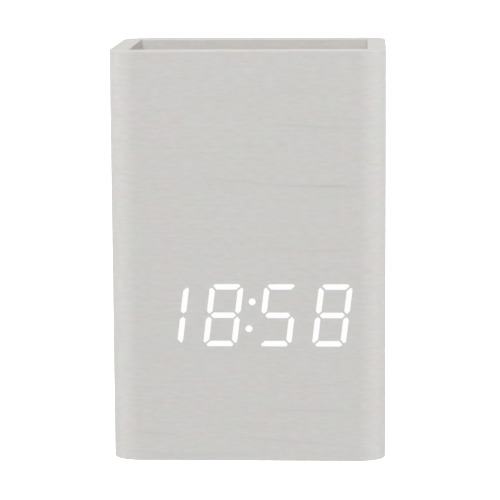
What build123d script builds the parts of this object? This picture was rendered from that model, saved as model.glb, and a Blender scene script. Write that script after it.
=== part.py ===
from build123d import *
import math
import os

# A tall desk clock with a pen cup in its top. Four faced boards are folded into a rounded box and
# wrapped in a grain film, and white numerals shine through the film low on the front.
# Lengths are in millimetres. X runs right as seen from the front, Y to the back and Z up.
# The origin is the middle of the case on the surface that it stands on.

# Case
case_width = 80.0
case_depth = 56.0
case_height = 120.0
corner_radius = 7.0
board_thickness = 5.2
film_thickness = 0.3
film_seam_width = 0.2
rim_rounding = 0.4

# Cup floor
floor_thickness = 4.0
floor_groove_depth = 2.0
floor_groove_play = 0.1
floor_clearance = 0.6

# Numerals: sizes are between the centre lines of the light bars
time_shown = "1858"
display_shift = 0.8
display_centre_height = 43.3
display_margin = 8.4
digit_width = 8.2
digit_height = 16.7
digit_slant = 7.0
bar_width = 1.65
bar_gap = 0.55
bar_tip_shift = 0.28
colon_dot_diameter = 2.05
colon_dot_spacing = 7.95

# Light display behind the film
diffuser_thickness = 0.3
reflector_side_rim = 0.4
reflector_end_rim = 1.8
window_clearance = 0.25
light_chip_length = 1.6
light_chip_width = 0.8
light_chip_height = 0.6
peg_diameter = 1.6
peg_sides = 6
peg_inset = 1.3
peg_clearance = 0.1
circuit_board_thickness = 1.6
display_board_clearance = 0.5
display_board_strip = 5.0
display_spacer_length = 1.5

# Small screws, their pilots and their spacers
screw_diameter = 2.0
screw_head_diameter = 4.0
screw_head_height = 1.3
screw_bite = 3.0
screw_inset = 2.4
pilot_clearance = 0.05
pilot_run_on = 0.5
through_clearance = 0.2
spacer_diameter = 4.6
spacer_sides = 6
head_sides = 12
shank_sides = 6

# Parts on the back of the display board, placed from the middle of the numerals
clock_chip_length = 12.8
clock_chip_width = 7.5
clock_chip_height = 2.4
clock_chip_inset = 19.2
clock_chip_rise = 4.5
chip_lead_count = 10
chip_lead_pitch = 1.2
chip_lead_width = 0.45
chip_lead_reach = 1.1
chip_lead_height = 0.3
crystal_length = 10.5
crystal_width = 4.2
crystal_height = 3.5
crystal_shift = 16.5
crystal_rise = 9.0
capacitor_diameter = 6.3
capacitor_height = 7.0
capacitor_drop = 5.5
buzzer_diameter = 9.6
buzzer_height = 5.0
buzzer_inset = 13.2
buzzer_drop = 8.0
buzzer_hole_diameter = 2.0
buzzer_hole_depth = 1.5
resistor_length = 1.6
resistor_width = 0.8
resistor_height = 0.5
resistor_pitch = 2.6
resistor_columns = 4
resistor_rows = 2
resistor_shift = 11.5
resistor_drop = 7.0

# Ribbon cable between the two circuit boards
socket_width = 10.0
socket_height = 5.0
socket_reach = 4.0
socket_shift = 20.0
socket_rise = 2.7
ribbon_width = 8.0
ribbon_thickness = 0.9
ribbon_lead_in = 5.0
ribbon_sag = 4.0
run_share = 0.45

# Buttons and their switches
button_pitch = 12.0
button_row_shift = 8.0
button_diameter = 6.0
button_hole_clearance = 0.2
button_proud = 0.8
button_travel = 0.5
button_chamfer = 0.4
flange_diameter = 8.0
flange_thickness = 1.0
flange_gap = 0.3
plunger_width = 3.0
plunger_proud = 1.3
plunger_clearance = 0.1
plunger_bore_depth = 2.5
plunger_stop_gap = 0.4
switch_size = 6.0
switch_height = 3.5

# Control board and the power jack
control_board_drop = 7.0
control_board_height = 26.0
control_board_side = 3.5
control_screw_inset = 3.0
inlet_diameter = 8.5
inlet_shift = 20.0
jack_size = 8.0
jack_gap = 0.2
jack_floor = 0.8
jack_bore_diameter = 3.8
jack_pin_diameter = 1.3
jack_pin_setback = 0.6

# Parts on the front of the control board, placed from its middle
coin_cell_diameter = 20.0
coin_cell_thickness = 3.2
coin_cell_inset = 13.0
strap_thickness = 0.4
strap_width = 6.0
strap_foot = 2.0
strap_clearance = 0.3
microphone_diameter = 6.0
microphone_height = 2.7
microphone_shift = 3.5
microphone_rise = 6.0
sensor_width = 4.5
sensor_depth = 3.6
sensor_length = 4.6
sensor_shift = 12.0
sensor_drop = 7.0
lead_socket_width = 5.6
lead_socket_height = 4.5
lead_socket_shift = 4.0
lead_socket_drop = 9.0

# Battery bay, its cells and contacts
cell_count = 3
cell_diameter = 10.5
cell_gap = 0.4
nipple_diameter = 3.8
nipple_length = 0.9
contact_thickness = 0.5
contact_width = 9.0
contact_height = 9.5
contact_tab_width = 3.0
contact_tab_rise = 1.5
contact_slot_clearance = 0.15
spring_length = 5.5
spring_base_diameter = 7.0
spring_tip_diameter = 4.6
spring_wire = 0.5
spring_turns = 2.0
spring_end_radius = 0.8
spring_wire_sides = 4
spring_samples = 200
bay_wall = 1.2

# Base cover, battery door and the blocks that take the base screws
cover_recess = 1.8
cover_clearance = 0.25
cover_rounding = 0.5
ledge_thickness = 0.6
door_thickness = 2.0
door_lap = 1.5
door_clearance = 0.25
door_gap = 0.2
door_edge_rounding = 0.3
door_rib_width = 0.8
door_rib_height = 1.2
door_rib_inset = 6.0
catch_radius = 0.2
catch_sides = 6
catch_length = 6.0
catch_spacing = 24.0
finger_notch_diameter = 12.0
finger_notch_depth = 1.2
door_notch_depth = 0.8
hinge_pin_diameter = 1.2
hinge_pin_length = 1.5
hinge_pin_clearance = 0.08
block_gap = 0.5
block_width = 7.3
block_depth = 9.0
block_headroom = 5.275
base_screw_diameter = 2.4
base_screw_head_diameter = 4.8
base_screw_head_height = 1.4
base_screw_length = 10.0

# Battery leads
lead_diameter = 1.2
lead_spacing = 2.5
lead_rise_share = 0.7
lead_sides = 5

# Places that follow from the sizes above
wall = board_thickness + film_thickness
front_y = -case_depth / 2
back_y = case_depth / 2
inner_width = case_width - 2 * wall
inner_depth = case_depth - 2 * wall
front_inner = front_y + wall
back_inner = back_y - wall

digit_count = len(time_shown)
digit_pitch = (case_width - 2 * display_margin) / digit_count
reflector_width = digit_count * digit_pitch + 2 * reflector_side_rim
reflector_height = digit_height + bar_width + 2 * reflector_end_rim
diffuser_front = front_y + film_thickness
reflector_front = diffuser_front + diffuser_thickness
display_board_front = front_inner + display_spacer_length
display_board_back = display_board_front + circuit_board_thickness
reflector_depth = display_board_front - reflector_front
display_board_width = inner_width - 2 * (display_shift + display_board_clearance)
display_board_height = reflector_height + 2 * display_board_strip
floor_z = display_centre_height + display_board_height / 2 + floor_clearance

switch_face = back_inner - flange_gap - flange_thickness - plunger_proud
control_board_back = switch_face - switch_height
control_board_front = control_board_back - circuit_board_thickness
standoff_length = back_inner - control_board_back
control_board_width = inner_width - 2 * control_board_side
control_z = floor_z - control_board_drop - control_board_height / 2
button_places = [-button_row_shift + (i - 1) * button_pitch for i in range(3)]

cell_pitch = cell_diameter + cell_gap
bay_length = inner_width - 2 * (block_width + block_gap + bay_wall)
cell_length = bay_length - spring_length - 2 * contact_thickness
bay_width = cell_count * cell_pitch + cell_gap
door_top = cover_recess + door_thickness
cover_thickness = door_thickness + door_gap + ledge_thickness
cover_top = cover_recess + cover_thickness
cell_z = door_top + cell_gap + cell_diameter / 2
bay_ceiling = cell_z + cell_diameter / 2 + cell_gap
bay_top = bay_ceiling + bay_wall
tab_top_z = bay_top + contact_tab_rise
door_length = bay_length + 2 * door_lap
door_width = bay_width + 2 * door_lap
hinge_x = -door_length / 2 + door_thickness / 2
hinge_z = cover_recess + door_thickness / 2
block_x = inner_width / 2 - block_width / 2
block_y = inner_depth / 2 - block_depth / 2
block_height = control_z - control_board_height / 2 - block_headroom - cover_top

os.makedirs("parts", exist_ok=True)


def facing_front(x, y, z):
    """A plane across the depth of the case: positive lengths go to the front, negative to the back."""
    return Plane(origin=(x, y, z), x_dir=(1, 0, 0), z_dir=(0, -1, 0))


def corners(half_width, half_height):
    """Four places at the corners of a rectangle."""
    return [(sx * half_width, sy * half_height) for sx in (-1, 1) for sy in (-1, 1)]


# The boards share one section, which the mitres at its corners cut into four
half_w, half_d = case_width / 2, case_depth / 2


def mitred_section(*outer_corners):
    """The wall of the case between the mitres at two of its outer corners."""
    inner_corners = [
        (x - math.copysign(wall, x), y - math.copysign(wall, y))
        for x, y in reversed(outer_corners)
    ]
    with BuildSketch() as section:
        RectangleRounded(
            case_width - 2 * film_thickness,
            case_depth - 2 * film_thickness,
            corner_radius - film_thickness,
        )
        Rectangle(inner_width, inner_depth, mode=Mode.SUBTRACT)
        Polygon(*outer_corners, *inner_corners, align=None, mode=Mode.INTERSECT)
    return section.sketch


with BuildSketch(Plane.XY.offset(floor_z)) as floor_groove:
    Rectangle(
        inner_width + 2 * floor_groove_depth, inner_depth + 2 * floor_groove_depth
    )
groove_height = floor_thickness + floor_groove_play

display_screw_places = corners(
    display_board_width / 2 - screw_inset, display_board_height / 2 - screw_inset
)[1:3]
control_screw_places = corners(
    control_board_width / 2 - control_screw_inset,
    control_board_height / 2 - control_screw_inset,
)
pilot_radius = screw_diameter / 2 + pilot_clearance
through_radius = screw_diameter / 2 + through_clearance

with BuildPart() as front_board:
    extrude(mitred_section((-half_w, -half_d), (half_w, -half_d)), amount=case_height)
    extrude(floor_groove.sketch, amount=groove_height, mode=Mode.SUBTRACT)
    with BuildSketch(facing_front(display_shift, front_y, display_centre_height)):
        Rectangle(
            reflector_width + 2 * window_clearance,
            reflector_height + 2 * window_clearance,
        )
    extrude(amount=-wall, mode=Mode.SUBTRACT)
    with BuildSketch(facing_front(display_shift, front_inner, display_centre_height)):
        with Locations(*display_screw_places):
            RegularPolygon(pilot_radius, shank_sides)
    extrude(amount=screw_bite + pilot_run_on, mode=Mode.SUBTRACT)
    fillet(front_board.edges().group_by(Axis.Z)[-1].sort_by(Axis.Y)[-1], rim_rounding)
front_board.part.label = "front_board"
export_step(front_board.part, "parts/front_board.step")

with BuildSketch(facing_front(0, back_y, control_z)) as back_holes:
    with Locations(*[(x, 0) for x in button_places]):
        Circle(button_diameter / 2 + button_hole_clearance)
    with Locations((inlet_shift, 0)):
        Circle(inlet_diameter / 2)

with BuildPart() as back_board:
    extrude(mitred_section((-half_w, half_d), (half_w, half_d)), amount=case_height)
    extrude(floor_groove.sketch, amount=groove_height, mode=Mode.SUBTRACT)
    extrude(back_holes.sketch, amount=wall, mode=Mode.SUBTRACT)
    with BuildSketch(facing_front(0, back_inner, control_z)):
        with Locations(*control_screw_places):
            RegularPolygon(pilot_radius, shank_sides)
    extrude(amount=-(screw_bite + pilot_run_on), mode=Mode.SUBTRACT)
    fillet(back_board.edges().group_by(Axis.Z)[-1].sort_by(Axis.Y)[0], rim_rounding)
back_board.part.label = "back_board"
export_step(back_board.part, "parts/back_board.step")

with BuildPart() as left_board:
    extrude(mitred_section((-half_w, -half_d), (-half_w, half_d)), amount=case_height)
    extrude(floor_groove.sketch, amount=groove_height, mode=Mode.SUBTRACT)
    fillet(left_board.edges().group_by(Axis.Z)[-1].sort_by(Axis.X)[-1], rim_rounding)
left_board.part.label = "left_board"
export_step(left_board.part, "parts/left_board.step")

with BuildPart() as right_board:
    extrude(mitred_section((half_w, -half_d), (half_w, half_d)), amount=case_height)
    extrude(floor_groove.sketch, amount=groove_height, mode=Mode.SUBTRACT)
    fillet(right_board.edges().group_by(Axis.Z)[-1].sort_by(Axis.X)[0], rim_rounding)
right_board.part.label = "right_board"
export_step(right_board.part, "parts/right_board.step")

# The floor of the cup is glued into the groove and closes the space for the works below it
with BuildPart() as cup_floor:
    with BuildSketch(Plane.XY.offset(floor_z)):
        Rectangle(
            inner_width + 2 * (floor_groove_depth - floor_groove_play),
            inner_depth + 2 * (floor_groove_depth - floor_groove_play),
        )
    extrude(amount=floor_thickness)
cup_floor.part.label = "cup_floor"
export_step(cup_floor.part, "parts/cup_floor.step")

# Seven light bars make a numeral. Each bar is a six-cornered outline about the numeral's own
# middle, mitred to its neighbours across an even gap.
half_bar = bar_width / 2
half_digit_w, half_digit_h = digit_width / 2, digit_height / 2
tip_cut = bar_gap / math.sqrt(2)
shoulder_cut = tip_cut + half_bar
outer_cut = shoulder_cut - 2 * bar_tip_shift
lean_share = math.tan(math.radians(digit_slant))

top_bar = [
    (half_digit_w - tip_cut + bar_tip_shift, half_digit_h + bar_tip_shift),
    (half_digit_w - outer_cut, half_digit_h + half_bar),
    (outer_cut - half_digit_w, half_digit_h + half_bar),
    (tip_cut - bar_tip_shift - half_digit_w, half_digit_h + bar_tip_shift),
    (shoulder_cut - half_digit_w, half_digit_h - half_bar),
    (half_digit_w - shoulder_cut, half_digit_h - half_bar),
]
upper_right_bar = [
    (half_digit_w + bar_tip_shift, half_digit_h - tip_cut + bar_tip_shift),
    (half_digit_w - half_bar, half_digit_h - shoulder_cut),
    (half_digit_w - half_bar, shoulder_cut),
    (half_digit_w, tip_cut),
    (half_digit_w + half_bar, shoulder_cut),
    (half_digit_w + half_bar, half_digit_h - outer_cut),
]
middle_bar = [
    (half_digit_w - tip_cut, 0),
    (half_digit_w - shoulder_cut, half_bar),
    (shoulder_cut - half_digit_w, half_bar),
    (tip_cut - half_digit_w, 0),
    (shoulder_cut - half_digit_w, -half_bar),
    (half_digit_w - shoulder_cut, -half_bar),
]
bars = {
    "top": top_bar,
    "upper_right": upper_right_bar,
    "lower_right": [(u, -v) for u, v in upper_right_bar],
    "bottom": [(u, -v) for u, v in top_bar],
    "lower_left": [(-u, -v) for u, v in upper_right_bar],
    "upper_left": [(-u, v) for u, v in upper_right_bar],
    "middle": middle_bar,
}
unlit_bars = {
    "0": ["middle"],
    "1": ["top", "bottom", "lower_left", "upper_left", "middle"],
    "2": ["lower_right", "upper_left"],
    "3": ["lower_left", "upper_left"],
    "4": ["top", "bottom", "lower_left"],
    "5": ["upper_right", "lower_left"],
    "6": ["upper_right"],
    "7": ["bottom", "lower_left", "upper_left", "middle"],
    "8": [],
    "9": ["lower_left"],
}
digit_places = [(i - (digit_count - 1) / 2) * digit_pitch for i in range(digit_count)]
colon_places = [
    (side * colon_dot_spacing / 2 * lean_share, side * colon_dot_spacing / 2)
    for side in (1, -1)
]


def draw_bars(place, names):
    """Draws bars of one numeral, leaning as it does, in the sketch being built."""
    for name in names:
        Polygon(*[(place + u + v * lean_share, v) for u, v in bars[name]], align=None)


# The lit bars are let into the film, flush with its face
lit_outlines = []
digit_names = (
    "digit_hour_tens",
    "digit_hour_units",
    "digit_minute_tens",
    "digit_minute_units",
)
for digit_name, place, numeral in zip(digit_names, digit_places, time_shown):
    with BuildPart() as lit_digit:
        with BuildSketch(
            facing_front(display_shift, front_y, display_centre_height)
        ) as lit_bars:
            draw_bars(place, [b for b in bars if b not in unlit_bars[numeral]])
        extrude(amount=-film_thickness)
    lit_outlines.append(lit_bars.sketch)
    lit_digit.part.label = digit_name
    export_step(lit_digit.part, f"parts/{digit_name}.step")

with BuildPart() as colon_dots:
    with BuildSketch(
        facing_front(display_shift, front_y, display_centre_height)
    ) as lit_dots:
        with Locations(*colon_places):
            Circle(colon_dot_diameter / 2)
    extrude(amount=-film_thickness)
lit_outlines.append(lit_dots.sketch)
colon_dots.part.label = "colon_dots"
export_step(colon_dots.part, "parts/colon_dots.step")

# The film runs round the outside of all four boards and meets itself at the rear left corner
seam_inset = corner_radius * (1 - math.sqrt(0.5))
with BuildPart() as grain_film:
    with BuildSketch():
        RectangleRounded(case_width, case_depth, corner_radius)
        RectangleRounded(
            case_width - 2 * film_thickness,
            case_depth - 2 * film_thickness,
            corner_radius - film_thickness,
            mode=Mode.SUBTRACT,
        )
        with Locations((seam_inset - half_w, half_d - seam_inset)):
            Rectangle(
                corner_radius, film_seam_width, rotation=135, mode=Mode.SUBTRACT
            )
    extrude(amount=case_height)
    for outline in lit_outlines:
        extrude(outline, amount=-film_thickness, mode=Mode.SUBTRACT)
    extrude(back_holes.sketch, amount=film_thickness, mode=Mode.SUBTRACT)
grain_film.part.label = "grain_film"
export_step(grain_film.part, "parts/grain_film.step")

# Behind the film lie a diffusing sheet and the reflector, which has a well for every bar
with BuildPart() as diffuser_sheet:
    with BuildSketch(facing_front(display_shift, diffuser_front, display_centre_height)):
        Rectangle(reflector_width, reflector_height)
    extrude(amount=-diffuser_thickness)
diffuser_sheet.part.label = "diffuser_sheet"
export_step(diffuser_sheet.part, "parts/diffuser_sheet.step")

peg_places = [
    (reflector_width / 2 - peg_inset, reflector_height / 2 - peg_inset),
    (peg_inset - reflector_width / 2, peg_inset - reflector_height / 2),
]
with BuildPart() as display_reflector:
    with BuildSketch(facing_front(display_shift, reflector_front, display_centre_height)):
        Rectangle(reflector_width, reflector_height)
    extrude(amount=-reflector_depth)
    with BuildSketch(facing_front(display_shift, reflector_front, display_centre_height)):
        for place in digit_places:
            draw_bars(place, bars)
        with Locations(*colon_places):
            Circle(colon_dot_diameter / 2)
    extrude(amount=-reflector_depth, mode=Mode.SUBTRACT)
    with BuildSketch(
        facing_front(display_shift, display_board_front, display_centre_height)
    ):
        with Locations(*peg_places):
            RegularPolygon(peg_diameter / 2, peg_sides)
    extrude(amount=-circuit_board_thickness)
display_reflector.part.label = "display_reflector"
export_step(display_reflector.part, "parts/display_reflector.step")

# One light chip stands on the board at the bottom of each well, in line with its bar
with BuildPart() as light_chips:
    with BuildSketch(
        facing_front(display_shift, display_board_front, display_centre_height)
    ):
        for place in digit_places:
            for v in (half_digit_h, 0, -half_digit_h):
                with Locations((place + v * lean_share, v)):
                    Rectangle(light_chip_length, light_chip_width)
            for u in (-half_digit_w, half_digit_w):
                for v in (-half_digit_h / 2, half_digit_h / 2):
                    with Locations((place + u + v * lean_share, v)):
                        Rectangle(
                            light_chip_width, light_chip_length, rotation=-digit_slant
                        )
        with Locations(*colon_places):
            Rectangle(light_chip_width, light_chip_width)
    extrude(amount=light_chip_height)
light_chips.part.label = "light_chips"
export_step(light_chips.part, "parts/light_chips.step")

with BuildPart() as display_board:
    with BuildSketch(
        facing_front(display_shift, display_board_front, display_centre_height)
    ):
        Rectangle(display_board_width, display_board_height)
        with Locations(*display_screw_places):
            RegularPolygon(through_radius, shank_sides, mode=Mode.SUBTRACT)
        with Locations(*peg_places):
            RegularPolygon(peg_diameter / 2 + peg_clearance, peg_sides, mode=Mode.SUBTRACT)
    extrude(amount=-circuit_board_thickness)
display_board.part.label = "display_board"
export_step(display_board.part, "parts/display_board.step")


def spacers(plane, places, length):
    """Six-sided spacers with a clearance hole, standing behind a plane."""
    with BuildPart() as tubes:
        with BuildSketch(plane):
            with Locations(*places):
                RegularPolygon(spacer_diameter / 2, spacer_sides)
                RegularPolygon(through_radius, shank_sides, mode=Mode.SUBTRACT)
        extrude(amount=-length)
    return tubes


def screws(plane, places, length, side):
    """Small screws with their heads seated on a plane: side 1 has the heads in front of it, -1 behind."""
    with BuildPart() as fasteners:
        with BuildSketch(plane):
            with Locations(*places):
                RegularPolygon(screw_head_diameter / 2, head_sides)
        extrude(amount=side * screw_head_height)
        with BuildSketch(plane):
            with Locations(*places):
                RegularPolygon(screw_diameter / 2, shank_sides)
        extrude(amount=-side * length)
    return fasteners


display_board_spacers = spacers(
    facing_front(display_shift, front_inner, display_centre_height),
    display_screw_places,
    display_spacer_length,
)
display_board_spacers.part.label = "display_board_spacers"
export_step(display_board_spacers.part, "parts/display_board_spacers.step")

display_board_screws = screws(
    facing_front(display_shift, display_board_back, display_centre_height),
    display_screw_places,
    circuit_board_thickness + display_spacer_length + screw_bite,
    -1,
)
display_board_screws.part.label = "display_board_screws"
export_step(display_board_screws.part, "parts/display_board_screws.step")

# On the back of the display board
board_end = display_shift - display_board_width / 2
clock_chip_x = board_end + clock_chip_inset
buzzer_x = board_end + buzzer_inset
clock_chip_plane = facing_front(
    clock_chip_x,
    display_board_back,
    display_centre_height + clock_chip_rise,
)
with BuildPart() as clock_chip:
    with BuildSketch(clock_chip_plane):
        Rectangle(clock_chip_length, clock_chip_width)
    extrude(amount=-clock_chip_height)
clock_chip.part.label = "clock_chip"
export_step(clock_chip.part, "parts/clock_chip.step")

with BuildPart() as chip_leads:
    with BuildSketch(clock_chip_plane):
        for side in (-1, 1):
            with Locations((0, side * (clock_chip_width + chip_lead_reach) / 2)):
                with GridLocations(chip_lead_pitch, 1, chip_lead_count, 1):
                    Rectangle(chip_lead_width, chip_lead_reach)
    extrude(amount=-chip_lead_height)
chip_leads.part.label = "chip_leads"
export_step(chip_leads.part, "parts/chip_leads.step")

with BuildPart() as crystal:
    with BuildSketch(
        facing_front(
            clock_chip_x + crystal_shift,
            display_board_back,
            display_centre_height + crystal_rise,
        )
    ):
        SlotOverall(crystal_length, crystal_width)
    extrude(amount=-crystal_height)
crystal.part.label = "crystal"
export_step(crystal.part, "parts/crystal.step")

with BuildPart() as capacitor:
    with BuildSketch(
        facing_front(
            display_shift, display_board_back, display_centre_height - capacitor_drop
        )
    ):
        Circle(capacitor_diameter / 2)
    extrude(amount=-capacitor_height)
capacitor.part.label = "capacitor"
export_step(capacitor.part, "parts/capacitor.step")

with BuildPart() as buzzer:
    with BuildSketch(
        facing_front(
            buzzer_x,
            display_board_back,
            display_centre_height - buzzer_drop,
        )
    ):
        Circle(buzzer_diameter / 2)
    extrude(amount=-buzzer_height)
    with BuildSketch(
        facing_front(
            buzzer_x,
            display_board_back + buzzer_height,
            display_centre_height - buzzer_drop,
        )
    ):
        Circle(buzzer_hole_diameter / 2)
    extrude(amount=buzzer_hole_depth, mode=Mode.SUBTRACT)
buzzer.part.label = "buzzer"
export_step(buzzer.part, "parts/buzzer.step")

with BuildPart() as chip_resistors:
    with BuildSketch(
        facing_front(
            display_shift + resistor_shift,
            display_board_back,
            display_centre_height - resistor_drop,
        )
    ):
        with GridLocations(
            resistor_pitch, resistor_pitch, resistor_columns, resistor_rows
        ):
            Rectangle(resistor_length, resistor_width)
    extrude(amount=-resistor_height)
chip_resistors.part.label = "chip_resistors"
export_step(chip_resistors.part, "parts/chip_resistors.step")

# Control board behind the back board, on four standoffs
with BuildPart() as control_board:
    with BuildSketch(facing_front(0, control_board_front, control_z)):
        Rectangle(control_board_width, control_board_height)
        with Locations(*control_screw_places):
            RegularPolygon(through_radius, shank_sides, mode=Mode.SUBTRACT)
    extrude(amount=-circuit_board_thickness)
control_board.part.label = "control_board"
export_step(control_board.part, "parts/control_board.step")

control_board_standoffs = spacers(
    facing_front(0, control_board_back, control_z),
    control_screw_places,
    standoff_length,
)
control_board_standoffs.part.label = "control_board_standoffs"
export_step(control_board_standoffs.part, "parts/control_board_standoffs.step")

control_board_screws = screws(
    facing_front(0, control_board_front, control_z),
    control_screw_places,
    circuit_board_thickness + standoff_length + screw_bite,
    1,
)
control_board_screws.part.label = "control_board_screws"
export_step(control_board_screws.part, "parts/control_board_screws.step")

# Each switch has a body with a square bore, a plunger that slides in it and a cap that passes the case
bore_width = plunger_width + 2 * plunger_clearance
with BuildPart() as switch_bodies:
    with BuildSketch(facing_front(0, control_board_back, control_z)):
        with Locations(*[(x, 0) for x in button_places]):
            Rectangle(switch_size, switch_size)
    extrude(amount=-switch_height)
    with BuildSketch(facing_front(0, switch_face, control_z)):
        with Locations(*[(x, 0) for x in button_places]):
            Rectangle(bore_width, bore_width)
    extrude(amount=plunger_bore_depth, mode=Mode.SUBTRACT)
switch_bodies.part.label = "switch_bodies"
export_step(switch_bodies.part, "parts/switch_bodies.step")

plunger_top = switch_face + plunger_proud
plunger_length = plunger_proud + plunger_bore_depth - button_travel - plunger_stop_gap
for name, x in zip(("set", "up", "down"), button_places):
    with BuildPart() as plunger:
        with BuildSketch(facing_front(x, plunger_top, control_z)):
            Rectangle(plunger_width, plunger_width)
        extrude(amount=plunger_length)
    plunger.part.label = f"{name}_plunger"
    export_step(plunger.part, f"parts/{name}_plunger.step")

    with BuildPart() as button:
        with BuildSketch(facing_front(x, plunger_top, control_z)):
            Circle(flange_diameter / 2)
        extrude(amount=-flange_thickness)
        with BuildSketch(facing_front(x, plunger_top + flange_thickness, control_z)):
            Circle(button_diameter / 2)
        extrude(amount=-(flange_gap + wall + button_proud))
        chamfer(button.edges().sort_by(Axis.Y)[-1], button_chamfer)
    button.part.label = f"{name}_button"
    export_step(button.part, f"parts/{name}_button.step")

# The power jack faces the inlet through the back board
jack_height = standoff_length - jack_gap
jack_bore_depth = jack_height - jack_floor
with BuildPart() as power_jack:
    with BuildSketch(facing_front(inlet_shift, control_board_back, control_z)):
        Rectangle(jack_size, jack_size)
    extrude(amount=-jack_height)
    with BuildSketch(
        facing_front(inlet_shift, control_board_back + jack_floor, control_z)
    ):
        Circle(jack_bore_diameter / 2)
    extrude(amount=-jack_bore_depth, mode=Mode.SUBTRACT)
power_jack.part.label = "power_jack"
export_step(power_jack.part, "parts/power_jack.step")

with BuildPart() as power_jack_pin:
    with BuildSketch(
        facing_front(inlet_shift, control_board_back + jack_floor, control_z)
    ):
        Circle(jack_pin_diameter / 2)
    extrude(amount=-(jack_bore_depth - jack_pin_setback))
power_jack_pin.part.label = "power_jack_pin"
export_step(power_jack_pin.part, "parts/power_jack_pin.step")

# On the front of the control board a strap holds the coin cell down
coin_cell_x = coin_cell_inset - control_board_width / 2
strap_reach = coin_cell_diameter / 2 + strap_clearance
low_middle = (Align.CENTER, Align.MAX)
with BuildPart() as coin_cell_holder:
    with BuildSketch(Plane.XY.offset(control_z)):
        with Locations((coin_cell_x, control_board_front)):
            Rectangle(
                2 * (strap_reach + strap_thickness + strap_foot),
                strap_thickness,
                align=low_middle,
            )
            Rectangle(
                2 * (strap_reach + strap_thickness),
                coin_cell_thickness + strap_thickness,
                align=low_middle,
            )
            Rectangle(
                2 * strap_reach,
                coin_cell_thickness,
                align=low_middle,
                mode=Mode.SUBTRACT,
            )
    extrude(amount=strap_width / 2, both=True)
coin_cell_holder.part.label = "coin_cell_holder"
export_step(coin_cell_holder.part, "parts/coin_cell_holder.step")

with BuildPart() as coin_cell:
    with BuildSketch(facing_front(coin_cell_x, control_board_front, control_z)):
        Circle(coin_cell_diameter / 2)
    extrude(amount=coin_cell_thickness)
coin_cell.part.label = "coin_cell"
export_step(coin_cell.part, "parts/coin_cell.step")

with BuildPart() as microphone:
    with BuildSketch(
        facing_front(microphone_shift, control_board_front, control_z + microphone_rise)
    ):
        Circle(microphone_diameter / 2)
    extrude(amount=microphone_height)
microphone.part.label = "microphone"
export_step(microphone.part, "parts/microphone.step")

with BuildPart() as temperature_sensor:
    with BuildSketch(
        facing_front(sensor_shift, control_board_front, control_z - sensor_drop)
    ):
        Circle(sensor_width / 2)
        with Locations((0, sensor_width / 2 - sensor_depth)):
            Rectangle(
                sensor_width,
                sensor_width,
                align=low_middle,
                mode=Mode.SUBTRACT,
            )
    extrude(amount=sensor_length)
temperature_sensor.part.label = "temperature_sensor"
export_step(temperature_sensor.part, "parts/temperature_sensor.step")

# The ribbon cable joins a socket on each board
socket_z = display_centre_height + socket_rise
with BuildPart() as cable_sockets:
    with BuildSketch(facing_front(socket_shift, display_board_back, socket_z)):
        Rectangle(socket_width, socket_height)
    extrude(amount=-socket_reach)
    with BuildSketch(facing_front(socket_shift, control_board_front, socket_z)):
        Rectangle(socket_width, socket_height)
    extrude(amount=socket_reach)
cable_sockets.part.label = "cable_sockets"
export_step(cable_sockets.part, "parts/cable_sockets.step")


def bend_radii(route):
    """A radius for each corner of a route, as large as its two runs allow."""
    radii = []
    for before, corner, after in zip(route, route[1:], route[2:]):
        arriving = Vector(*corner) - Vector(*before)
        leaving = Vector(*after) - Vector(*corner)
        half_turn = math.radians(arriving.get_angle(leaving)) / 2
        shorter = min(arriving.length, leaving.length)
        radii.append(run_share * shorter / math.tan(half_turn))
    return radii


ribbon_start = display_board_back + socket_reach
ribbon_end = control_board_front - socket_reach
ribbon_route = [
    (socket_shift, ribbon_start, socket_z),
    (socket_shift, ribbon_start + ribbon_lead_in, socket_z),
    (socket_shift, (ribbon_start + ribbon_end) / 2, socket_z - ribbon_sag),
    (socket_shift, ribbon_end - ribbon_lead_in, socket_z),
    (socket_shift, ribbon_end, socket_z),
]
with BuildPart() as ribbon_cable:
    with BuildLine() as ribbon_path:
        FilletPolyline(*ribbon_route, radius=bend_radii(ribbon_route))
    with BuildSketch(facing_front(*ribbon_route[0])):
        Rectangle(ribbon_width, ribbon_thickness)
    sweep(path=ribbon_path.wire())
ribbon_cable.part.label = "ribbon_cable"
export_step(ribbon_cable.part, "parts/ribbon_cable.step")
print("ribbon bends", [round(r, 1) for r in bend_radii(ribbon_route)])

# Blocks glued into the bottom corners take the base screws
block_places = corners(block_x, block_y)
with BuildPart() as screw_blocks:
    with BuildSketch(Plane.XY.offset(cover_top)):
        with Locations(*block_places):
            Rectangle(block_width, block_depth)
            RegularPolygon(
                base_screw_diameter / 2 + pilot_clearance,
                shank_sides,
                mode=Mode.SUBTRACT,
            )
    extrude(amount=block_height)
screw_blocks.part.label = "screw_blocks"
export_step(screw_blocks.part, "parts/screw_blocks.step")

with BuildPart() as base_screws:
    with BuildSketch(Plane.XY.offset(cover_recess)):
        with Locations(*block_places):
            RegularPolygon(base_screw_head_diameter / 2, head_sides)
    extrude(amount=-base_screw_head_height)
    with BuildSketch(Plane.XY.offset(cover_recess)):
        with Locations(*block_places):
            RegularPolygon(base_screw_diameter / 2, shank_sides)
    extrude(amount=base_screw_length)
base_screws.part.label = "base_screws"
export_step(base_screws.part, "parts/base_screws.step")

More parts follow.
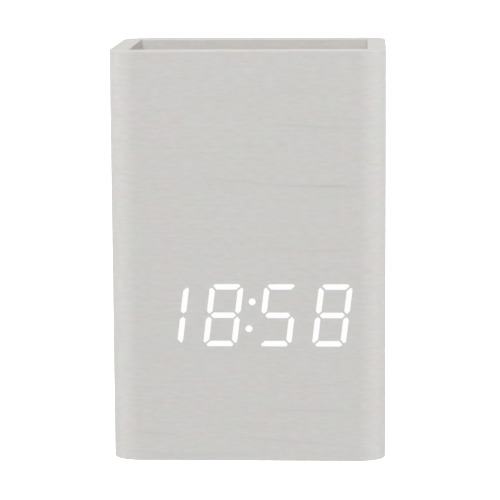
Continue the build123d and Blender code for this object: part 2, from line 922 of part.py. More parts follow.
# The base cover carries the battery bay, the rebate for the door and the sockets of its hinge
last_end = 1 if cell_count % 2 == 0 else -1
cell_places = [(i - (cell_count - 1) / 2) * cell_pitch for i in range(cell_count)]
tab_places = [
    (bay_length / 2 - contact_thickness / 2, cell_places[0]),
    (last_end * (bay_length - contact_thickness) / 2, cell_places[-1]),
]
with BuildPart() as base_cover:
    with BuildSketch(Plane.XY.offset(cover_recess)):
        RectangleRounded(
            inner_width - 2 * cover_clearance,
            inner_depth - 2 * cover_clearance,
            cover_rounding,
        )
    extrude(amount=cover_thickness)
    with BuildSketch(Plane.XY.offset(cover_top)):
        Rectangle(bay_length + 2 * bay_wall, bay_width + 2 * bay_wall)
    extrude(amount=bay_top - cover_top)
    with BuildSketch(Plane.XY.offset(cover_recess)):
        Rectangle(bay_length, bay_width)
    extrude(amount=bay_ceiling - cover_recess, mode=Mode.SUBTRACT)
    with BuildSketch(Plane.XY.offset(cover_recess)):
        Rectangle(door_length + 2 * door_clearance, door_width + 2 * door_clearance)
    extrude(amount=door_thickness + door_gap, mode=Mode.SUBTRACT)
    with BuildSketch(facing_front(hinge_x, 0, hinge_z)):
        Circle(hinge_pin_diameter / 2 + hinge_pin_clearance)
    extrude(
        amount=door_width / 2 + hinge_pin_length + door_clearance,
        both=True,
        mode=Mode.SUBTRACT,
    )
    with BuildSketch(Plane.XY.offset(bay_ceiling)):
        with Locations(*tab_places):
            Rectangle(
                contact_thickness + 2 * contact_slot_clearance,
                contact_tab_width + 2 * contact_slot_clearance,
            )
    extrude(amount=bay_wall, mode=Mode.SUBTRACT)
    with BuildSketch(Plane.XY.offset(cover_recess)):
        with Locations(*block_places):
            Circle(base_screw_diameter / 2 + through_clearance)
    extrude(amount=cover_thickness, mode=Mode.SUBTRACT)
    with BuildSketch(Plane.XY.offset(cover_recess)):
        with Locations((door_length / 2, 0)):
            Circle(finger_notch_diameter / 2)
    extrude(amount=finger_notch_depth, mode=Mode.SUBTRACT)
base_cover.part.label = "base_cover"
export_step(base_cover.part, "parts/base_cover.step")

# The battery door turns on two pins at its rounded end and has low catch ridges at the other
with BuildPart() as battery_door:
    with BuildSketch(facing_front(0, 0, hinge_z)):
        with Locations((hinge_x, 0)):
            Circle(door_thickness / 2)
            Rectangle(
                door_length - door_thickness / 2,
                door_thickness,
                align=(Align.MIN, Align.CENTER),
            )
    extrude(amount=door_width / 2, both=True)
    fillet(
        battery_door.edges().filter_by(Axis.Y).sort_by(Axis.X)[-2:], door_edge_rounding
    )
    with BuildSketch(facing_front(hinge_x, 0, hinge_z)):
        Circle(hinge_pin_diameter / 2)
    extrude(amount=door_width / 2 + hinge_pin_length, both=True)
    for y in (-catch_spacing / 2, catch_spacing / 2):
        with BuildSketch(facing_front(door_length / 2, y, hinge_z)):
            RegularPolygon(catch_radius, catch_sides)
        extrude(amount=catch_length / 2, both=True)
    with BuildSketch(Plane.XY.offset(door_top)):
        with GridLocations(0, cell_pitch, 1, cell_count - 1):
            Rectangle(bay_length - 2 * door_rib_inset, door_rib_width)
    extrude(amount=door_rib_height)
    with BuildSketch(Plane.XY.offset(cover_recess)):
        with Locations((door_length / 2, 0)):
            Circle(finger_notch_diameter / 2)
    extrude(amount=door_notch_depth, mode=Mode.SUBTRACT)
battery_door.part.label = "battery_door"
export_step(battery_door.part, "parts/battery_door.step")

# Cells lie side by side and point in turn to the right and to the left
cell_rows = [(y, 1 if i % 2 == 0 else -1) for i, y in enumerate(cell_places)]
contact_face = bay_length / 2 - contact_thickness
with BuildPart() as battery_cells:
    for y, direction in cell_rows:
        tip = Plane(
            origin=(direction * contact_face, y, cell_z), z_dir=(-direction, 0, 0)
        )
        with BuildSketch(tip):
            Circle(nipple_diameter / 2)
        extrude(amount=nipple_length)
        with BuildSketch(tip.offset(nipple_length)):
            Circle(cell_diameter / 2)
        extrude(amount=cell_length - nipple_length)
battery_cells.part.label = "battery_cells"
export_step(battery_cells.part, "parts/battery_cells.step")

# A contact plate stands at the end of each row of cells. The plates with a tab feed the leads, and
# each of the others joins two cells, so that all of them work in line.
with BuildPart() as contact_plates:
    for i in range(cell_count + 1):
        end = 1 if i % 2 == 0 else -1
        first_row, last_row = max(i - 1, 0), min(i, cell_count - 1)
        first_y, last_y = cell_places[first_row], cell_places[last_row]
        with BuildSketch(
            Plane(
                origin=(end * bay_length / 2, (first_y + last_y) / 2, cell_z),
                x_dir=(0, end, 0),
                z_dir=(end, 0, 0),
            )
        ):
            Rectangle(last_y - first_y + contact_width, contact_height)
            if first_row == last_row:
                Rectangle(
                    contact_tab_width,
                    tab_top_z - cell_z,
                    align=(Align.CENTER, Align.MIN),
                )
        extrude(amount=-contact_thickness)
contact_plates.part.label = "contact_plates"
export_step(contact_plates.part, "parts/contact_plates.step")


def biarc_joint(start, start_direction, end, end_direction):
    """Where two arcs meet that leave one point and reach another in the given directions."""
    chord = end - start
    along = chord.dot(start_direction + end_direction)
    spread = 2 * (1 - start_direction.dot(end_direction))
    reach = (math.sqrt(along**2 + spread * chord.dot(chord)) - along) / spread
    return (start + end + (start_direction - end_direction) * reach) / 2


def spring_stations(seat):
    """Places and directions along a spring that narrows from its seat, a quarter turn apart."""
    base_radius, tip_radius = spring_base_diameter / 2, spring_tip_diameter / 2
    low = spring_wire + spring_end_radius
    high = spring_length - low
    quarters = round(4 * spring_turns)
    narrowing = (tip_radius - base_radius) / (math.pi / 2 * quarters)
    climb = (high - low) / (math.pi / 2 * quarters)
    stations = []
    for i in range(quarters + 1):
        angle = math.pi / 2 * i
        radius = base_radius + narrowing * angle
        outward = Vector(math.cos(angle), math.sin(angle), 0)
        around = Vector(-math.sin(angle), math.cos(angle), 0)
        place = outward * radius + Vector(0, 0, low + climb * angle)
        heading = around * radius + outward * narrowing + Vector(0, 0, climb)
        if i == 0:
            place, heading = place + around * spring_end_radius, around
        if i == quarters:
            place, heading = place - around * spring_end_radius, around
        stations.append((place, heading.normalized()))
    return [
        (seat.from_local_coords(p), seat.from_local_coords(d) - seat.origin)
        for p, d in stations
    ]


def least_gap(points, apart):
    """The least gap between the turns of a spring, from points at even steps along its wire."""
    return min(
        (p - q).length - spring_wire
        for i, p in enumerate(points)
        for q in points[i + apart :]
    )


# A spring pushes each cell from its flat end. Its wire leaves the contact plate and meets the cell
# square, and between them winds in a cone.
with BuildPart() as battery_springs:
    for y, direction in cell_rows:
        seat = Plane(
            origin=(-direction * contact_face, y, cell_z),
            x_dir=(0, 1, 0),
            z_dir=(direction, 0, 0),
        )
        stations = spring_stations(seat)
        axis = seat.z_dir
        (first, first_heading), (last, last_heading) = stations[0], stations[-1]
        foot = first - (first_heading + axis) * spring_end_radius
        head = last + (last_heading + axis) * spring_end_radius
        with BuildLine() as coil:
            Line(foot - axis * spring_wire, foot)
            TangentArc(foot, first, tangent=axis)
            for (start, leaving), (end, arriving) in zip(stations, stations[1:]):
                joint = biarc_joint(start, leaving, end, arriving)
                TangentArc(start, joint, tangent=leaving)
                TangentArc(end, joint, tangent=-arriving)
            TangentArc(last, head, tangent=last_heading)
            Line(head, head + axis * spring_wire)
        with BuildSketch(Plane(origin=foot - axis * spring_wire, z_dir=axis)):
            RegularPolygon(spring_wire / 2, spring_wire_sides)
        sweep(path=coil.wire())
battery_springs.part.label = "battery_springs"
export_step(battery_springs.part, "parts/battery_springs.step")
coil_points = [coil.wire() @ (i / spring_samples) for i in range(spring_samples + 1)]
half_turn_samples = round(spring_samples / spring_turns / 2)
print("spring gap", round(least_gap(coil_points, half_turn_samples), 2))

# The battery leads rise from the tabs and run to their socket on the control board
lead_socket_z = control_z - lead_socket_drop
with BuildPart() as lead_socket:
    with BuildSketch(
        facing_front(lead_socket_shift, control_board_front, lead_socket_z)
    ):
        Rectangle(lead_socket_width, lead_socket_height)
    extrude(amount=socket_reach)
lead_socket.part.label = "lead_socket"
export_step(lead_socket.part, "parts/lead_socket.step")

lead_top = lead_socket_z - lead_socket_height / 2
lead_y = control_board_front - socket_reach / 2
lead_rise = lead_rise_share * (lead_top - tab_top_z)
for lead_name, side, (tab_x, tab_y) in zip(
    ("red_lead", "black_lead"), (1, -1), tab_places
):
    tab_top = Vector(tab_x, tab_y, tab_top_z)
    plug = Vector(lead_socket_shift + side * lead_spacing / 2, lead_y, lead_top)
    risen = tab_top + Vector(0, 0, lead_rise)
    below = plug - Vector(0, 0, lead_rise)
    lead_route = [tuple(p) for p in (tab_top, risen, below, plug)]
    with BuildPart() as lead:
        with BuildLine() as lead_path:
            FilletPolyline(*lead_route, radius=bend_radii(lead_route))
        with BuildSketch(Plane(origin=tab_top, z_dir=(0, 0, 1))):
            RegularPolygon(lead_diameter / 2, lead_sides)
        sweep(path=lead_path.wire())
    lead.part.label = lead_name
    export_step(lead.part, f"parts/{lead_name}.step")
    print(lead_name, "bends", [round(r, 1) for r in bend_radii(lead_route)])
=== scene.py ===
import math

import bmesh
import bpy
from mathutils import Matrix, Vector


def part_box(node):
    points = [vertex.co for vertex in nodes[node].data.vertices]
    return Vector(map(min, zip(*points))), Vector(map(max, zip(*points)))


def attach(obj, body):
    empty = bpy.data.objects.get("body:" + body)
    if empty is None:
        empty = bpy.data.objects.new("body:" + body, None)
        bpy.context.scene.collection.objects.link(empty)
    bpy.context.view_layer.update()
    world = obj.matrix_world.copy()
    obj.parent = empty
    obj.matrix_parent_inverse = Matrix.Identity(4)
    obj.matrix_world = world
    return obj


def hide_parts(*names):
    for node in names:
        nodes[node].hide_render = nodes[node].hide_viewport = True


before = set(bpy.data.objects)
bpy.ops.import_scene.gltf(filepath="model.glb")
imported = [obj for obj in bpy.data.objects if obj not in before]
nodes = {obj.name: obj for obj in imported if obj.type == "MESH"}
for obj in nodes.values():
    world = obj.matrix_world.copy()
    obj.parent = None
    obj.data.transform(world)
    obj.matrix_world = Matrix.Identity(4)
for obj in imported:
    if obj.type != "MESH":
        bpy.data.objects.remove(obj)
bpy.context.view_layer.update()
mm = 0.001

# The camera looks at the clock from slightly above and to the right, at arm's length, through a
# long lens. Its small roll is that of the picture's upright edges.
azimuth, elevation, roll = (math.radians(angle) for angle in (2.81, 8.86, -0.349))
aim_height, aim_left, aim_down = 60 * mm, 0.627 * mm, 1.887 * mm
camera_distance, nearest_seen = 721.1 * mm, 10 * mm
lens_length, sensor_width = 172.8, 36


def direction(turn, rise):
    """The way from the clock to a place turned about it and raised by two angles."""
    return Vector(
        (math.sin(turn) * math.cos(rise), -math.cos(turn) * math.cos(rise), math.sin(rise))
    )


def new_object(name, data):
    """A new object at the origin of the scene."""
    item = bpy.data.objects.new(name, data)
    bpy.context.scene.collection.objects.link(item)
    return item


back = direction(azimuth, elevation)
level_right = Vector((math.cos(azimuth), math.sin(azimuth), 0))
level_up = back.cross(level_right)
aim = Vector((0, 0, aim_height)) - level_right * aim_left - level_up * aim_down
camera_right = level_right * math.cos(roll) + level_up * math.sin(roll)
camera_up = level_up * math.cos(roll) - level_right * math.sin(roll)
camera = new_object("camera", bpy.data.cameras.new("camera"))
camera.data.sensor_width, camera.data.lens = sensor_width, lens_length
camera.data.clip_start = nearest_seen
camera.matrix_world = Matrix((camera_right, camera_up, back)).transposed().to_4x4()
camera.location = aim + back * camera_distance
bpy.context.scene.camera = camera
bpy.context.scene.view_settings.view_transform = "Standard"


# The stage is a white floor under a white surround. The camera and mirrors see it plain white. The
# surround lights the clock from all round, a large softbox lights its front, a low strip its back,
# and a narrow strip at each side its round corners.
surround_light = 0.515
floor_half_side = 3.0
floor_albedo, floor_mirrored, floor_seen = 0.35, 1.1, 2.2
# Turn and rise in degrees, then distance, width and height in metres, and power in watts
softboxes = {
    "key_softbox": (0, 44, 8.0, 4.8, 2.4, 471.0),
    "rear_strip": (180, 0.5, 8.0, 16.0, 0.24, 420.0),
    "left_strip": (-86, 2.5, 0.9, 0.12, 0.3, 3.2),
    "right_strip": (86, 2.5, 0.9, 0.12, 0.3, 3.2),
}


class Level:
    """A number that a tree of nodes works out. Each sum on levels adds a Math node to the tree."""

    def __init__(self, socket):
        self.socket = socket
        self.tree = socket.id_data

    def math(self, operation, *others):
        """What one Math node makes of this level and other levels or numbers."""
        inputs = dict(enumerate((self, *others)))
        return Level(made_by(self.tree, "ShaderNodeMath", inputs, operation=operation))

    def __add__(self, other):
        return self.math("ADD", other)

    def __sub__(self, other):
        return self.math("SUBTRACT", other)

    def __mul__(self, other):
        return self.math("MULTIPLY", other)

    def __truediv__(self, other):
        return self.math("DIVIDE", other)


def set_inputs(node, inputs):
    """Links the inputs of a node to levels and sockets, and sets them to other values."""
    for key, value in inputs.items():
        value = value.socket if isinstance(value, Level) else value
        if isinstance(value, bpy.types.NodeSocket):
            node.id_data.links.new(value, node.inputs[key])
        else:
            node.inputs[key].default_value = value


def add_node(tree, kind, inputs=None, **settings):
    """A new node with its settings and inputs."""
    node = tree.nodes.new(kind)
    for key, value in settings.items():
        setattr(node, key, value)
    set_inputs(node, inputs or {})
    return node


def made_by(tree, kind, inputs=None, **settings):
    """The first output of a new node."""
    return add_node(tree, kind, inputs, **settings).outputs[0]


def seen_directly(tree):
    """1 for rays from the camera, from mirrors and through glass, and 0 for light that spreads."""
    path = add_node(tree, "ShaderNodeLightPath").outputs
    seen = Level(path["Is Camera Ray"]).math("MAXIMUM", path["Is Glossy Ray"])
    return seen.math("MAXIMUM", path["Is Transmission Ray"])


def blend_colours(share, first, second):
    """A colour that lies between two others."""
    inputs = {0: share, 6: first, 7: second}
    return add_node(share.tree, "ShaderNodeMix", inputs, data_type="RGBA").outputs[2]


def grey(level):
    """A grey as a linear colour."""
    return (level, level, level, 1)


world = bpy.data.worlds.new("surround")
world.use_nodes = True
bpy.context.scene.world = world
strength = seen_directly(world.node_tree) * (1 - surround_light) + surround_light
set_inputs(world.node_tree.nodes["Background"], {"Color": grey(1), "Strength": strength})

floor_material = bpy.data.materials.new("white_floor")
floor_material.use_nodes = True
floor_tree = floor_material.node_tree
floor_tree.nodes.remove(floor_tree.nodes["Principled BSDF"])
floor_colour = blend_colours(seen_directly(floor_tree), grey(floor_albedo), grey(floor_mirrored))
in_view = Level(add_node(floor_tree, "ShaderNodeLightPath").outputs["Is Camera Ray"])
floor_colour = blend_colours(in_view, floor_colour, grey(floor_seen))
floor_shader = made_by(floor_tree, "ShaderNodeBsdfDiffuse", {"Color": floor_colour})
set_inputs(floor_tree.nodes["Material Output"], {"Surface": floor_shader})
floor_corners = [(x, y, 0) for x, y in ((-1, -1), (1, -1), (1, 1), (-1, 1))]
floor_mesh = bpy.data.meshes.new("floor")
floor_mesh.from_pydata(
    [Vector(corner) * floor_half_side for corner in floor_corners], [], [(0, 1, 2, 3)]
)
floor_mesh.materials.append(floor_material)
new_object("floor", floor_mesh)

for name, (turn, rise, distance, width, height, power) in softboxes.items():
    toward = direction(math.radians(turn), math.radians(rise))
    lamp = bpy.data.lights.new(name, "AREA")
    lamp.shape, lamp.size, lamp.size_y = "RECTANGLE", width, height
    lamp.energy = power
    softbox = new_object(name, lamp)
    softbox.location = aim + toward * distance
    softbox.rotation_euler = toward.to_track_quat("Z", "Y").to_euler()


# The grain film is a printed sheet of white-washed oak, wrapped once round the four boards with its
# ends meeting at the rear left corner. It has openings for the light bars, the buttons and the plug.
# Pulled tight round each corner it is a little thinner, so that its face starts to turn early.
case_width, case_depth, case_height = 80 * mm, 56 * mm, 120 * mm
corner_radius, corner_steps, flat_support = 7 * mm, 18, 0.5 * mm
bend_reach, bend_start_radius, bend_start_turn = 7.8 * mm, 9.0 * mm, math.radians(22)
film_thickness, film_seam = 0.3 * mm, 0.2 * mm
film_top_round, film_bottom_round, film_round_steps = 0.25 * mm, 0.1 * mm, 4
quarter = math.pi / 2
grain_tint = (204, 202.3, 199.9)
# Each noise of the grain: waves for each metre along X, Y and Z, detail, and shift
grain_wander, wander_waves = 1.3 * mm, ((30, 30, 60), 1.0)
grain_waves = (
    ((9, 9, 150), 2.0, 3.1),
    ((30, 30, 800), 3.0, 7.7),
    ((330, 330, 1250), 3.0, 2.2),
    ((260, 260, 2400), 1.0, 1.3),
    ((100, 100, 300), 2.0, 5.9),
    ((110, 110, 340), 2.0, 9.4),
)
broad_share, fibre_share, fleck_share, pore_share = 0.016, 0.055, 0.175, 0.030
pink_red, pink_green, cream_blue, pore_relief = 0.085, -0.06, 0.11, 0.6
streak_strength, streak_raggedness, streak_power, streak_limit = 0.011, 4.0, 4.0, -20 * mm
noise_roughness = 0.55
# Each dark streak: place across, height, half length and half width in mm, slope, and depth
dark_streaks = (
    (19.0, 81.1, 12.5, 0.40, -0.03, 6.0),
    (24.5, 81.0, 4.5, 0.45, 0.02, 3.5),
    (-3.0, 82.6, 9.5, 0.35, -0.07, 3.5),
    (23.0, 79.4, 8.0, 1.60, 0.0, 1.0),
    (17.5, 98.4, 10.5, 0.36, -0.05, 5.5),
    (21.5, 97.0, 6.0, 0.40, 0.0, 1.8),
    (13.5, 107.9, 5.0, 0.40, -0.06, 2.2),
    (-26.0, 103.2, 4.0, 0.30, 0.02, 3.0),
    (9.5, 62.8, 4.5, 0.30, 0.08, 3.5),
    (22.0, 62.3, 8.0, 0.35, 0.0, 4.5),
    (-22.0, 66.0, 4.0, 0.30, 0.0, 2.5),
    (19.5, 15.1, 12.5, 0.38, -0.02, 5.0),
    (13.0, 6.0, 14.0, 0.38, -0.06, 4.0),
    (-26.0, 8.2, 6.0, 0.38, -0.05, 4.0),
    (-14.0, 1.8, 17.0, 0.35, 0.0, 4.0),
)


def tint(colour):
    """A colour as it looks on a screen, from 0 to 255, as the linear colour that shaders take."""
    linear = []
    for level in colour:
        share = level / 255
        linear.append(share / 12.92 if share <= 0.04045 else ((share + 0.055) / 1.055) ** 2.4)
    return (*linear, 1)


def new_material(name, finish, **sockets):
    """A material with sockets set by name. Its finish works out more from the place on a piece."""
    material = bpy.data.materials.new(name)
    material.use_nodes = True
    tree = material.node_tree
    place = add_node(tree, "ShaderNodeTexCoord").outputs["Object"]
    inputs = {socket.replace("_", " "): value for socket, value in sockets.items()}
    set_inputs(tree.nodes["Principled BSDF"], {**inputs, **finish(place)})
    return material


def axes_of(vector):
    """The three axes of a vector, as levels."""
    split = add_node(vector.id_data, "ShaderNodeSeparateXYZ", {0: vector})
    return [Level(axis) for axis in split.outputs]


def vector_of(*axes):
    """A vector from three numbers, of which at least one is a level."""
    tree = next(axis.tree for axis in axes if isinstance(axis, Level))
    return made_by(tree, "ShaderNodeCombineXYZ", dict(enumerate(axes)))


def scaled(colour, level):
    """A colour scaled by a level."""
    inputs = {0: colour[:3] if isinstance(colour, tuple) else colour, 3: level}
    return made_by(level.tree, "ShaderNodeVectorMath", inputs, operation="SCALE")


def toned(colour, tone):
    """A colour with its red, green and blue each scaled by a share."""
    inputs = {0: colour, 1: tone}
    return made_by(colour.id_data, "ShaderNodeVectorMath", inputs, operation="MULTIPLY")


def stretched_noise(place, waves, detail=2.0, shift=0.0):
    """Noise about zero, stretched along each axis by its own waves for each metre."""
    inputs = {"Vector": place, "Location": (shift,) * 3, "Scale": waves}
    stretched = made_by(place.id_data, "ShaderNodeMapping", inputs)
    inputs = {"Vector": stretched, "Scale": 1.0, "Detail": detail, "Roughness": noise_roughness}
    return Level(made_by(place.id_data, "ShaderNodeTexNoise", inputs)) - 0.5


def bumped(height, strength, distance):
    """The way a surface faces where a height dents or lifts it."""
    inputs = {"Height": height, "Strength": strength, "Distance": distance}
    return made_by(height.tree, "ShaderNodeBump", inputs)


def wood_grain(place):
    """The colour and the height of white-washed oak, whose grain runs level round the case."""
    x, y, z = axes_of(place)
    height = stretched_noise(place, *wander_waves) * grain_wander + z
    bent = vector_of(x, y, height)
    broad, fibres, flecks, pores, pinks, creams = (
        stretched_noise(bent, *waves) for waves in grain_waves
    )
    light = broad * broad_share + fibres * fibre_share + flecks * fleck_share + pores * pore_share
    ragged = flecks * streak_raggedness + 1.0
    on_front = y.math("LESS_THAN", streak_limit)
    for centre, streak_z, half_length, half_width, slope, depth in dark_streaks:
        along = x - centre * mm
        across = (height - along * slope - streak_z * mm) / (half_width * mm)
        along = along / (half_length * mm)
        falloff = along.math("ABSOLUTE").math("POWER", streak_power) + across * across
        mark = (falloff * -1.0).math("EXPONENT") * on_front * ragged
        light = light - mark * (depth * streak_strength)
    value = light + 1.0
    washes = (pinks * pink_red, pinks * pink_green, creams * cream_blue)
    washed = vector_of(*(wash + value for wash in washes))
    return toned(washed, tint(grain_tint)[:3]), pores * pore_relief + fibres


def add_piece(name, mesh, material, body, slot, *replaced):
    """Puts a finished mesh in the scene on its body, in place of the solids that it stands for."""
    mesh.materials.clear()
    mesh.materials.append(material)
    piece = new_object(name, mesh)
    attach(piece, body)
    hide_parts(*replaced)


def smooth_below(mesh, degrees):
    """Shades a mesh smooth, and keeps edges sharper than an angle crisp."""
    mesh.shade_smooth()
    mesh.set_sharp_from_angle(angle=math.radians(degrees))


def new_mesh(name, shape):
    """A mesh from a bmesh, with its faces turned outwards."""
    bmesh.ops.recalc_face_normals(shape, faces=shape.faces)
    mesh = bpy.data.meshes.new(name)
    shape.to_mesh(mesh)
    shape.free()
    return mesh


def plain_mesh(item):
    """The finished mesh of an object with live modifiers, which is then taken away."""
    evaluated = item.evaluated_get(bpy.context.evaluated_depsgraph_get())
    mesh = bpy.data.meshes.new_from_object(evaluated)
    mesh.name = item.data.name
    bpy.data.objects.remove(item)
    return mesh


def cut_mesh(mesh, cutter_mesh):
    """The mesh with every solid of the cutter taken out of it."""
    body, cutter = new_object("uncut", mesh), new_object("cutter", cutter_mesh)
    cut = body.modifiers.new("cut", "BOOLEAN")
    cut.operation, cut.solver, cut.object = "DIFFERENCE", "EXACT", cutter
    result = plain_mesh(body)
    bpy.data.objects.remove(cutter)
    return result


def bend(turn):
    """How far the film's face has come in from one side, and along it, as it turns a corner."""
    slow = (math.sin(bend_start_turn) + 1 - math.cos(bend_start_turn)) * bend_start_radius
    tight_radius = (bend_reach - slow) / (math.cos(bend_start_turn) - math.sin(bend_start_turn))
    inward = along = 0
    for start, end, radius in (
        (0, bend_start_turn, bend_start_radius),
        (bend_start_turn, quarter - bend_start_turn, tight_radius),
        (quarter - bend_start_turn, quarter, bend_start_radius),
    ):
        end = min(end, turn)
        if end > start:
            inward += radius * (math.cos(start) - math.cos(end))
            along += radius * (math.sin(end) - math.sin(start))
    return inward, along


def film_path():
    """Places on the film's face and on the boards behind it, from one side of the seam round."""
    gap = film_seam / 2 / corner_radius
    corners = (
        (1.5 * quarter + gap, 2 * quarter),
        (2 * quarter, 3 * quarter),
        (3 * quarter, 4 * quarter),
        (0, quarter),
        (quarter, 1.5 * quarter - gap),
    )
    path = []
    for corner, (first, last) in enumerate(corners):
        base = first // quarter * quarter
        out_first = Vector((math.cos(base), math.sin(base)))
        out_last = Vector((-math.sin(base), math.cos(base)))
        diagonal = out_first + out_last
        box_corner = Vector(
            (math.copysign(case_width / 2, diagonal.x), math.copysign(case_depth / 2, diagonal.y))
        )
        centre = box_corner - diagonal * corner_radius
        steps = corner_steps if last - first > quarter / 2 else corner_steps // 2
        arc = []
        for step in range(steps + 1):
            angle = first + (last - first) * step / steps
            inward, along = bend(angle - base)
            face = box_corner - out_first * inward - out_last * (bend_reach - along)
            outward = Vector((math.cos(angle), math.sin(angle)))
            arc.append((face, centre + outward * (corner_radius - film_thickness)))
        before = Vector((math.sin(first), -math.cos(first))) * flat_support
        after = Vector((-math.sin(last), math.cos(last))) * flat_support
        if corner > 0:
            arc.insert(0, (arc[0][0] + before, arc[0][1] + before))
        if corner < len(corners) - 1:
            arc.append((arc[-1][0] + after, arc[-1][1] + after))
        path += arc
    return path


def film_section():
    """The film's outline across its thickness: how far in from its face, and how high."""
    section = [
        (film_thickness, 0.0),
        (film_bottom_round, 0.0),
        (0.0, film_bottom_round),
        (0.0, film_bottom_round + flat_support),
        (0.0, case_height - film_top_round - flat_support),
    ]
    for step in range(film_round_steps + 1):
        angle = quarter * step / film_round_steps
        inset = film_top_round * (1 - math.cos(angle))
        section.append((inset, case_height - film_top_round * (1 - math.sin(angle))))
    return section + [(film_thickness, case_height)]


def join_rings(shape, ring, following):
    """Faces between two rings of as many corners, or between a ring and a single point."""
    steps = max(len(ring), len(following))
    for i in range(steps):
        j = (i + 1) % steps
        corners = [ring[i % len(ring)], ring[j % len(ring)]]
        corners += [following[j % len(following)], following[i % len(following)]]
        shape.faces.new(list(dict.fromkeys(corners)))


film_shape = bmesh.new()
film_rings = [
    [
        film_shape.verts.new((*face.lerp(board, inset / film_thickness), height))
        for inset, height in film_section()
    ]
    for face, board in film_path()
]
for ring, following in zip(film_rings, film_rings[1:]):
    join_rings(film_shape, ring, following)
for ring in (film_rings[0], film_rings[-1]):
    film_shape.faces.new(ring)
film_mesh = new_mesh("grain_film_wrap", film_shape)


def oak_film(place):
    """The oak print on the film."""
    colour, relief = wood_grain(place)
    return {"Base Color": colour, "Normal": bumped(relief, strength=0.25, distance=0.02 * mm)}


grain = new_material("white_washed_oak", oak_film, Roughness=0.62, Specular_IOR_Level=0.22)


# The light bars of the numerals lie flush in the film and glow white. Seven mitred bars make a
# numeral, each cut with small round corners, and two dots part the hours from the minutes.
time_shown = "1858"
display_x, display_z = 0.8 * mm, 43.3 * mm
digit_pitch, digit_width, digit_height = 15.8 * mm, 8.2 * mm, 16.7 * mm
digit_lean = math.tan(math.radians(7.0))
bar_width, bar_gap, bar_tip_shift = 1.65 * mm, 0.55 * mm, 0.28 * mm
bar_round, bar_round_steps, bar_recess = 0.27 * mm, 4, 0.03 * mm
dot_radius, dot_spacing, dot_steps = 1.025 * mm, 7.95 * mm, 48
unlit_bars = {"1": (0, 3, 4, 5, 6), "8": (), "5": (1, 4)}
digit_nodes = ("digit_hour_tens", "digit_hour_units", "digit_minute_tens", "digit_minute_units")
digit_places = [(i - (len(digit_nodes) - 1) / 2) * digit_pitch for i in range(len(digit_nodes))]
glow_level, glow_waves, glow_clouds = 0.775, (900, 900, 900), 0.06


def bar_outlines():
    """The seven bars about the middle of a numeral, clockwise from the top, the middle one last."""
    half_bar, half_w, half_h = bar_width / 2, digit_width / 2, digit_height / 2
    tip = bar_gap / math.sqrt(2)
    shoulder = tip + half_bar
    outer = shoulder - 2 * bar_tip_shift
    top = [
        (half_w - tip + bar_tip_shift, half_h + bar_tip_shift),
        (half_w - outer, half_h + half_bar),
        (outer - half_w, half_h + half_bar),
        (tip - bar_tip_shift - half_w, half_h + bar_tip_shift),
        (shoulder - half_w, half_h - half_bar),
        (half_w - shoulder, half_h - half_bar),
    ]
    upper_right = [
        (half_w + bar_tip_shift, half_h - tip + bar_tip_shift),
        (half_w - half_bar, half_h - shoulder),
        (half_w - half_bar, shoulder),
        (half_w, tip),
        (half_w + half_bar, shoulder),
        (half_w + half_bar, half_h - outer),
    ]
    middle = [
        (half_w - tip, 0),
        (half_w - shoulder, half_bar),
        (shoulder - half_w, half_bar),
        (tip - half_w, 0),
        (shoulder - half_w, -half_bar),
        (half_w - shoulder, -half_bar),
    ]
    return [
        top,
        upper_right,
        [(u, -v) for u, v in upper_right],
        [(u, -v) for u, v in top],
        [(-u, -v) for u, v in upper_right],
        [(-u, v) for u, v in upper_right],
        middle,
    ]


def leaning(outline, place):
    """Points about the middle of an upright numeral, as they lean at a place on the display."""
    return [(place + u + v * digit_lean, v) for u, v in outline]


def on_display(u, v):
    """A place on the case, seen from the front, from one about the middle of the display."""
    return display_x + u, display_z + v


def round_corners(outline, radius, steps):
    """The outline with each corner turned through a small arc."""
    rounded = []
    corners = [Vector(point) for point in outline]
    for i, corner in enumerate(corners):
        to_last = (corners[i - 1] - corner).normalized()
        to_next = (corners[(i + 1) % len(corners)] - corner).normalized()
        half_angle = to_last.angle(to_next) / 2
        reach = radius / math.tan(half_angle)
        centre = corner + (to_last + to_next).normalized() * radius / math.sin(half_angle)
        start = (corner + to_last * reach - centre).normalized()
        end = (corner + to_next * reach - centre).normalized()
        for step in range(steps + 1):
            rounded.append(centre + start.slerp(end, step / steps) * radius)
    return rounded


def add_prism(shape, outline, front, rear):
    """A prism across the depth of the case on an outline of widths and heights."""
    ends = [[shape.verts.new((u, y, v)) for u, v in outline] for y in (front, rear)]
    for ring in ends:
        shape.faces.new(ring)
    join_rings(shape, *ends)


def circle_outline(x, z, radius, steps):
    """Points round a circle, seen from the front."""
    turns = [2 * math.pi * step / steps for step in range(steps)]
    return [(x + radius * math.cos(turn), z + radius * math.sin(turn)) for turn in turns]


def cloudy_glow(place):
    """White light that is a little uneven."""
    cloud = dict.fromkeys(range(3), stretched_noise(place, glow_waves) * glow_clouds + 1.0)
    return {"Emission Color": made_by(place.id_data, "ShaderNodeCombineColor", cloud)}


